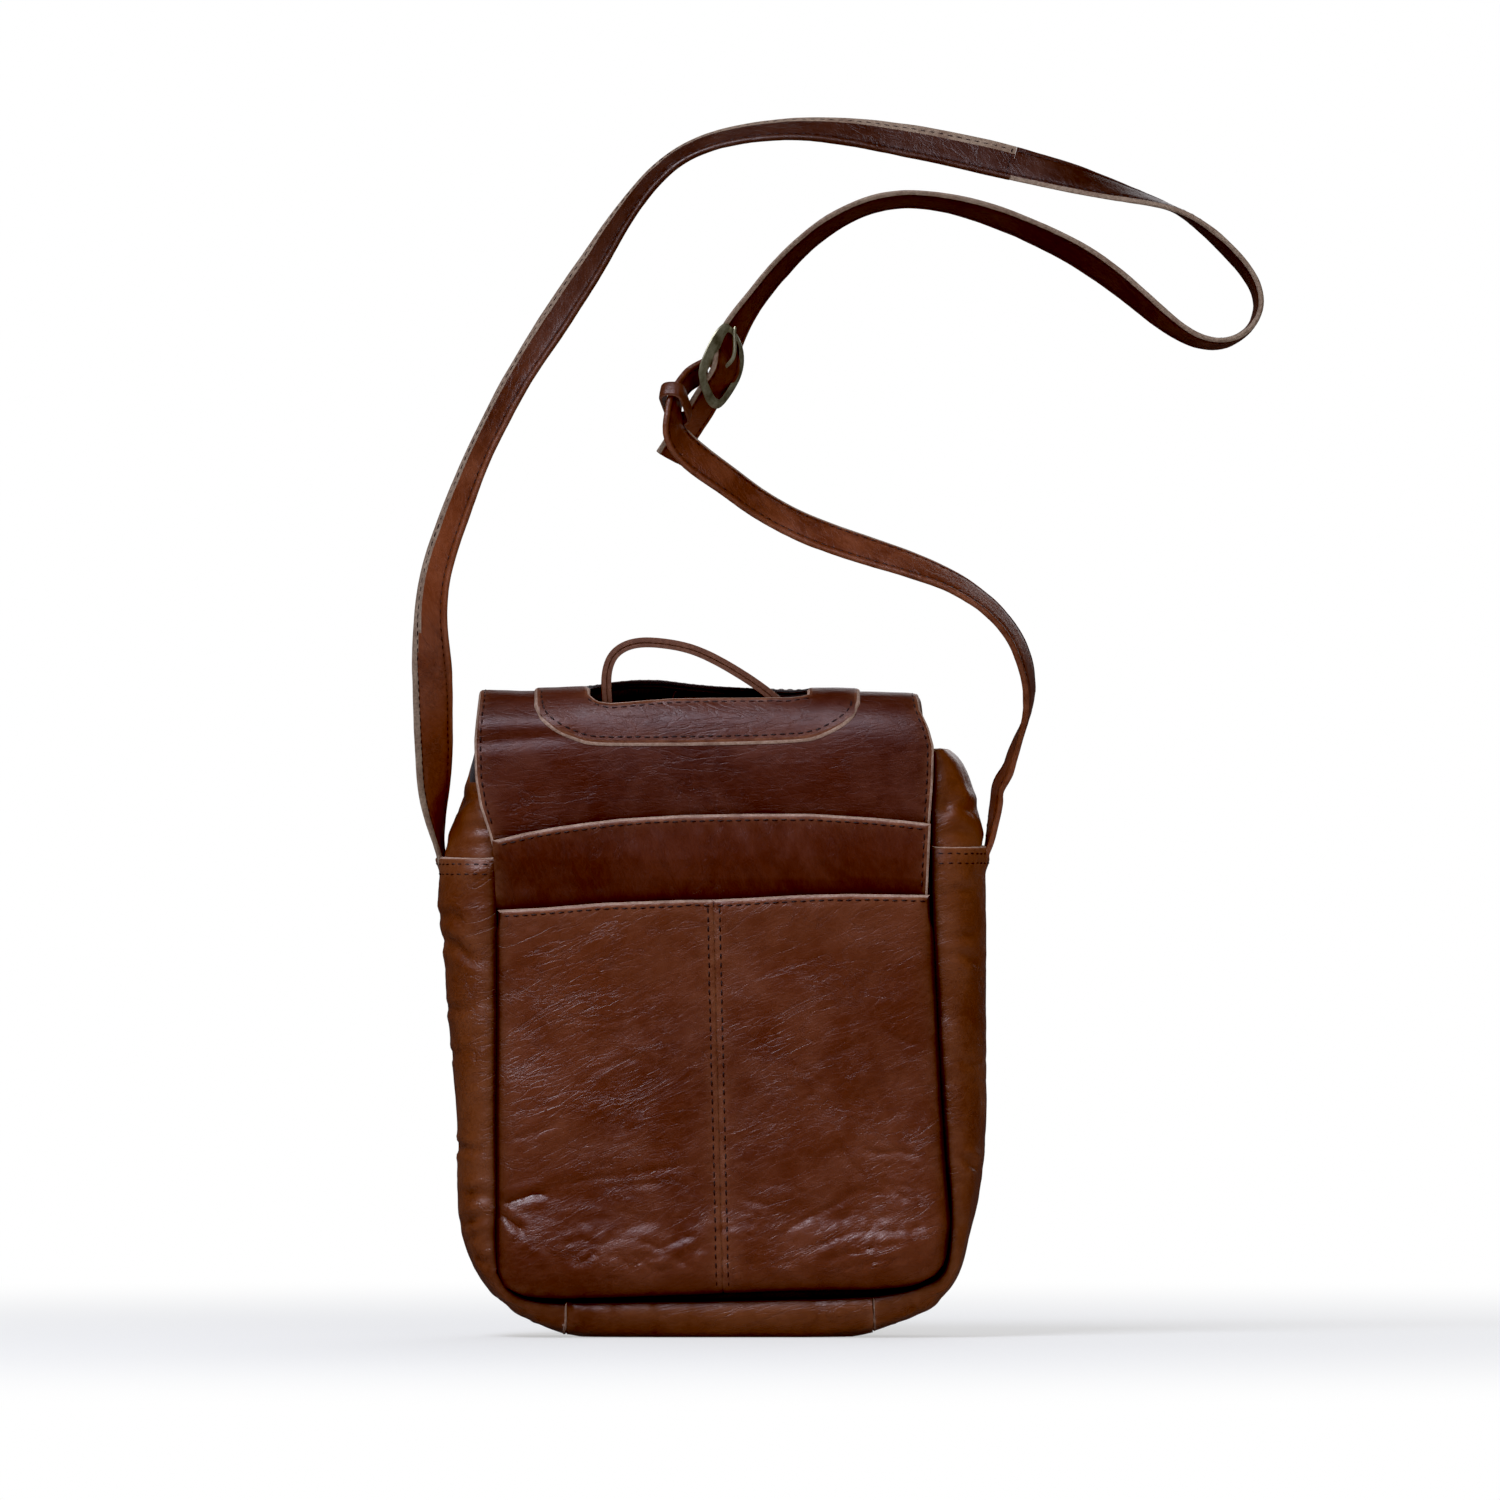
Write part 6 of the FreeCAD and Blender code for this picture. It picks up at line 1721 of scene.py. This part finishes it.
def buckle_ring():
    """Flat cast ring with a pointed oval outline, and the bar across it."""
    angles = np.linspace(0, 2 * math.pi, 121)[:-1]
    verts = []
    for outer, inner in zip(polar_outline(RING_OUT, angles, rounds=2),
                            polar_outline(RING_IN, angles, rounds=1)):
        for share, level in RING_SECTION:
            along, across = between(outer, inner, share)
            height = RING_HEIGHT + level * RING_HALF_DEPTH
            across = (across - height * math.sin(TILT)) / math.cos(TILT)
            verts.append(BUCKLE + BUCKLE_ALONG * along + BUCKLE_ACROSS * across
                         + BUCKLE_FACE * height)
    size = len(RING_SECTION)
    faces = []
    for i in range(len(angles)):
        a, b = i * size, (i + 1) % len(angles) * size
        for j in range(size):
            j2 = (j + 1) % size
            faces.append((a + j, b + j, b + j2, a + j2))
    # the bar's ends rise to meet the ring
    bar_start, sides = len(verts), 14
    low, high = -13.0, 7.2
    for place in (low, low + 0.4, high - 0.4, high):
        radius = 0.9 if place in (low, high) else 1.15
        rise = min(1, max(0, abs(place + 2.9) - 9.0))
        height = between(BAR_HEIGHT, RING_HEIGHT, rise)
        for k in range(sides):
            angle = 2 * math.pi * k / sides
            verts.append(BUCKLE + BUCKLE_FACE * height + BUCKLE_ACROSS * place
                         + BUCKLE_ALONG * radius * math.cos(angle)
                         + BUCKLE_FACE * radius * math.sin(angle))
    bar_faces = tube_faces(4, sides, start=bar_start)
    verts = np.array(verts)
    middle = verts[bar_start + sides:bar_start + 3 * sides].mean(0)
    faces = turned_out(faces, verts, 3, BUCKLE_FACE)
    outward = verts[list(bar_faces[sides])].mean(0) - middle
    faces += turned_out(bar_faces, verts, sides, outward)
    ob = make("buckle_ring_metal", verts, faces, [BRASS], angle=38)
    attach(ob, "antique_brass", "shoulder_strap", "buckle_frame")


def buckle_prong():
    """Bent wire hung on the bar and resting on the end of the ring, blunt at both ends."""
    curve = spline(PRONG, count=30)
    path = BUCKLE + curve @ np.array([BUCKLE_ALONG, BUCKLE_ACROSS, BUCKLE_FACE])
    radii = 0.95 * (1 - 0.30 * np.arange(30) / 29)
    radii[[0, -1]] *= 0.55
    ob = make("buckle_prong_wire", *tube(path, radii, 12, BUCKLE_ACROSS), [BRASS])
    attach(ob, "antique_brass", "prong", "buckle_prong")


buckle_ring()
buckle_prong()

# CAD nodes kept as they are, with a bevel: (node, material, bevel in metres, segments, slot)
KEPT_NODES = [
    ("snap_base", BRASS, 0.00025, 2, "antique_brass"),
    ("snap_base_washer", BRASS, 0.00025, 2, "antique_brass"),
    ("snap_stud", BRASS, 0.00025, 2, "antique_brass"),
    ("zip_slider", ZIP_BRASS, 0.0002, 2, "antique_brass"),
    ("zip_pull", ZIP_BRASS, 0.0002, 2, "antique_brass"),
    ("zip_end_stops", ZIP_BRASS, 0.0002, 2, "antique_brass"),
    ("zip_teeth_rear", ZIP_BRASS, 0.00008, 1, "antique_brass"),
    ("zip_teeth_front", ZIP_BRASS, 0.00008, 1, "antique_brass"),
    ("zip_tape_rear", TAPE, 0.0001, 1, "black_lining"),
    ("zip_tape_front", TAPE, 0.0001, 1, "black_lining")]
for node, mat, width, segments, slot in KEPT_NODES:
    ob = frame["nodes"][node]
    ob.data.materials.clear()
    ob.data.materials.append(mat)
    for polygon in ob.data.polygons:
        polygon.material_index = 0
    bevel = ob.modifiers.new("Bevel", "BEVEL")
    bevel.width = width
    bevel.segments = segments
    bevel.limit_method = "ANGLE"
    bevel.angle_limit = math.radians(40)
    bevel.harden_normals = True


# ================================================================== BAG STITCHING
bag = Thread("bag_stitching")
# pocket mouth, each half up to the seam
hem = [(x, -30, z - HEM) for x, z in POCKET_MOUTH]
hem[0] = (-88.5, *hem[0][1:])
bag.row(pocket_left.surface,
        [p for p in hem if p[0] < -1] + [(seam_x(183) - 1.0, -30, 183.0)], BACK)
bag.row(pocket_right.surface,
        [(seam_x(183) + 1.0, -30, 183.1)] + [p for p in hem if p[0] > 5], BACK)
# both sides of the centre seam, then a row that bridges it
for piece, offset, seed in ((pocket_left, -2.5, 4), (pocket_right, 2.5, 14)):
    line = [(seam_x(z) + offset, -30, z) for z in np.linspace(183, 22.5, 30)]
    bag.row(piece.surface, line, BACK, seed=seed)
z = np.arange(183.5, 22.5, -PITCH)
y = POCKET_Y - POCKET_THICK - pocket_depth(seam_x(z), z) - 0.22
centres = np.stack([seam_x(z), y, z], -1)
bag.add(centres, unit(np.gradient(centres, axis=0)), np.tile([0, -1.0, 0], (len(z), 1)),
        length=2.7, width=0.6)
# under the band's top edge and down its right edge
bag.row(band.surface, [(x, -30, z - 2.7) for x, z in BAND_TOP[:-1]] + [(88.6, -30, 215.2)], BACK)
bag.row(band.surface, [(88.9, -30, 214.0), (87.6, -30, 190.5)], BACK)
# rows round the gussets under the strap ends
for piece, side, heights in ((gusset_left, -1, (200.6, 196.4)),
                             (gusset_right, 1, (205.0, 201.0))):
    for height in heights:
        line = [(side * (92 + 22 * math.cos(angle) ** 0.8), 24.5 * math.sin(angle), height)
                for angle in np.radians(np.linspace(-88, 88, 31))]
        bag.row(piece.surface, line, lambda points: (points - (side * 84.0, 0, 0)) * (1, 1, 0),
                reach=25, pitch=3.6, seed=int(height))
# front pocket mouth and the front panel's side edges
bag.row(front_pocket.surface,
        [(x, 30, FRONT_MOUTH_Z - 2.7 - 0.6 * hill(x, 30.0)) for x in np.linspace(-86, 88, 30)],
        FRONT)
heights = np.linspace(246, 150, 20)
bag.row(panels["front"].surface, [(-87.5, 27, z) for z in heights], FRONT)
bag.row(panels["front"].surface, [(88.4 + (246 - z) * 0.014, 27, z) for z in heights], FRONT)
attach(bag.build(THREAD), "body_leather", "bag")

# turned edges that show as a light line where the bottom gusset meets the side gussets
seam = Thread("gusset_seam_edges")
for piece, (x0, z0), (x1, z1) in ((gusset_left, (-60.0, 15.6), (-62.9, 3.4)),
                                  (gusset_right, (66.6, 17.6), (67.8, 5.0))):
    for side in (-1, 1):
        middle = (0.55 * x0 + 0.45 * x1, side * 22, 0.55 * z0 + 0.45 * z1)
        seam.row(piece.surface, [(x0, side * 22, z0), middle, (x1, side * 22, z1)],
                 (0, side, 0), reach=20, pitch=1.6, fill=1.5, width=1.25, lift=0.05, jitter=0.0)
    seam.row(piece.surface, [(x1, -21.5, 3.0), (x1, 0.0, 2.0), (x1, 21.5, 3.0)], (0, 0, -1),
             reach=12, pitch=2.0, fill=1.4, width=1.25, lift=0.0, jitter=0.0)
attach(seam.build(RAW), "body_leather", "bag")


# ================================================================== FLAP STITCHING
back_thread = Thread("flap_rise_stitching")
front_thread = Thread("flap_drop_stitching")


def flap_row(thread, piece, x, s, lift=0.10):
    thread.row(piece.surface, flap_points(x, s, 1.0), flap_facing, reach=7.0, lift=lift)


s = np.arange(12, S_SPLIT - 1, 4.0)
flap_row(back_thread, flap_back, lookup(s, FLAP_LEFT) + 2.6, s)
s = np.arange(9, S_SPLIT - 1, 4.0)
flap_row(back_thread, flap_back, lookup(s, FLAP_RIGHT) - 2.6, s)
s = np.arange(S_SPLIT + 1, S_END - 8, 4.0)
flap_row(front_thread, flap_front, lookup(s, FLAP_LEFT) + 2.6, s)
flap_row(front_thread, flap_front, lookup(s, FLAP_RIGHT) - 2.6, s)
x = np.linspace(-89, 82, 40)
flap_row(front_thread, flap_front, x, 0 * x + S_END - 2.8)

# patch: a row inside its outline, closed through the middle of both ends
right_end = (PATCH_RIGHT, (patch_low[-1, 1] + patch_high[-1, 1]) / 2)
left_end = (PATCH_LEFT, (patch_low[0, 1] + patch_high[0, 1]) / 2)
loop = np.vstack([patch_low, right_end, patch_high[::-1], left_end, patch_low[:1]])
slope = np.gradient(loop, axis=0)
slope[0] = slope[-1] = loop[1] - loop[-2]
slope = unit(slope)
inward = np.stack([-slope[:, 1], slope[:, 0]], -1)
if ((loop[:-1].mean(0) - loop) * inward).sum() < 0:
    inward = -inward
loop = loop + inward * 3.6
flap_row(back_thread, patch, loop[:, 0], loop[:, 1])
# and a row behind and in front of the slot
x = np.r_[SLOT_LEFT - 1.5, np.linspace(SLOT_LEFT + 3, SLOT_RIGHT - 3, 30), SLOT_RIGHT + 1.5]
flap_row(back_thread, patch, x, slot_back_s(x) - 3.0)
flap_row(back_thread, patch, x, slot_front_s(x) + 3.4, lift=-0.06)
bend_back(back_thread.build(THREAD), "flap_leather")
bend_front(front_thread.build(THREAD), "flap_leather")

# loose thread end at the slot
path = spline([(-16.6, -20.6, 269.3), (-16.8, -21.0, 271.0), (-16.2, -21.2, 272.4),
               (-15.5, -21.0, 273.2)], count=10)
verts, faces = tube(path, 0.28 * (1 - 0.5 * np.arange(10) / 9), 6, (0, 1, 0.01))
bend_back(make("slot_thread_end", verts, faces, [THREAD], angle=0), "flap_leather")


# ================================================================== STUDIO (metres)
FLOOR_RADII = [0.25, 0.6, 1.2, 2.5, 5, 10, 20, 60.0]
FLOOR_SIDES = 48


def paper():
    """Matt paper that glows to pure white, for the camera only, away from the bag."""
    m = new_material("studio_paper")
    m.surface({"Base Color": (0.9, 0.9, 0.9, 1), "Roughness": 0.9, "Specular IOR Level": 0.1})
    position = m.node("ShaderNodeNewGeometry").outputs["Position"]
    distance = m.node("ShaderNodeVectorMath", operation="LENGTH",
                      inputs={0: position}).outputs["Value"]
    glow = m.remap(distance, (0.16, 1.0), to=(0.5, 1.0), interpolation_type="SMOOTHSTEP")
    to_camera = m.node("ShaderNodeLightPath").outputs["Is Camera Ray"]
    share = m.times(glow, to_camera)
    white = m.node("ShaderNodeEmission", inputs={0: (1, 1, 1, 1), 1: 1.0}).outputs[0]
    lit = m.tree.nodes["Principled BSDF"].outputs[0]
    mixed = m.node("ShaderNodeMixShader", inputs={0: share, 1: lit, 2: white}).outputs[0]
    m.fill(m.tree.nodes["Material Output"], {0: mixed})
    return m.owner


mesh = bpy.data.meshes.new("floor")
verts = [(0, 0, 0)]
for radius in FLOOR_RADII:
    for k in range(FLOOR_SIDES):
        angle = k * 2 * math.pi / FLOOR_SIDES
        verts.append((radius * math.cos(angle), radius * math.sin(angle), 0))
faces = [(0, 1 + k, 1 + (k + 1) % FLOOR_SIDES) for k in range(FLOOR_SIDES)]
for i in range(len(FLOOR_RADII) - 1):
    a, b = 1 + i * FLOOR_SIDES, 1 + (i + 1) * FLOOR_SIDES
    for k in range(FLOOR_SIDES):
        k2 = (k + 1) % FLOOR_SIDES
        faces.append((a + k, b + k, b + k2, a + k2))
mesh.from_pydata(verts, [], faces)
floor = bpy.data.objects.new("floor", mesh)
bpy.context.scene.collection.objects.link(floor)
mesh.materials.append(paper())
floor.visible_glossy = False
floor.location = (0, 0, 0.0015)


def area_light(name, location, aim_z, size, watts, color):
    """Square light aimed at a height on the bag's axis, hidden from the camera."""
    light = bpy.data.lights.new(name, "AREA")
    light.energy = watts
    light.color = color
    light.size = size
    ob = bpy.data.objects.new(name, light)
    ob.location = location
    ob.rotation_mode = "QUATERNION"
    aim = Vector((0, 0, aim_z)) - Vector(location)
    ob.rotation_quaternion = aim.to_track_quat("-Z", "Y")
    bpy.context.scene.collection.objects.link(ob)
    ob.visible_camera = False
    return ob


area_light("key_window", (-0.9, -1.25, 2.1), aim_z=0.22, size=1.0, watts=37.0,
           color=(0.84, 0.88, 1.0))
fill_light = area_light("fill_front", (1.5, -2.6, 0.8), aim_z=0.2, size=1.6, watts=12.5,
                        color=(1.0, 0.96, 0.92))
fill_light.visible_glossy = False
sky_light = area_light("sky_top", (0.0, 0.5, 2.4), aim_z=0.2, size=2.2, watts=10.0,
                       color=(0.96, 0.97, 1.0))
sky_light.visible_glossy = False
area_light("front_side", (0.8, 2.6, 1.4), aim_z=0.2, size=1.8, watts=16.0,
           color=(0.98, 0.97, 1.0))
sheen_light = area_light("window_sheen", (-0.50, -1.62, 1.63), aim_z=0.22, size=1.2,
                         watts=19.0, color=(0.80, 0.80, 1.0))
sheen_light.visible_diffuse = False

# white to the camera, a dim cool light on the bag and dimmer still in reflections
WORLD_LEVEL = 0.2
world = Nodes(bpy.data.worlds.new("world"))
rays = world.node("ShaderNodeLightPath").outputs
cool = (0.93 * WORLD_LEVEL, 0.95 * WORLD_LEVEL, WORLD_LEVEL, 1)
sky_colour = world.mix(rays["Is Camera Ray"], cool, (1, 1, 1, 1))
strength = world.remap(rays["Is Glossy Ray"], (0.0, 1.0), to=(1.0, 0.25))
world.fill(world.tree.nodes["Background"], {0: sky_colour, 1: strength})
scene = bpy.context.scene
scene.world = world.owner

view = scene.view_settings
view.view_transform = "Standard"
view.look = "None"
# black point: takes the last veil off the dark leather
view.use_curve_mapping = True
view.curve_mapping.black_level = (0.004, 0.0085, 0.0095)
view.curve_mapping.update()

SENSOR_WIDTH = 36.0
VIEW_DISTANCE, VIEW_WIDTH = 8.97, 0.63      # the lens frames this width at this distance
lens = bpy.data.cameras.new("camera")
lens.sensor_width = SENSOR_WIDTH
lens.lens = SENSOR_WIDTH * VIEW_DISTANCE / VIEW_WIDTH
lens.clip_start = 0.05
lens.clip_end = 60
camera = bpy.data.objects.new("camera", lens)
camera.location = (0.0155, -9.0, 0.2486)
camera.rotation_euler = (math.pi / 2, 0, 0)
scene.collection.objects.link(camera)
scene.camera = camera
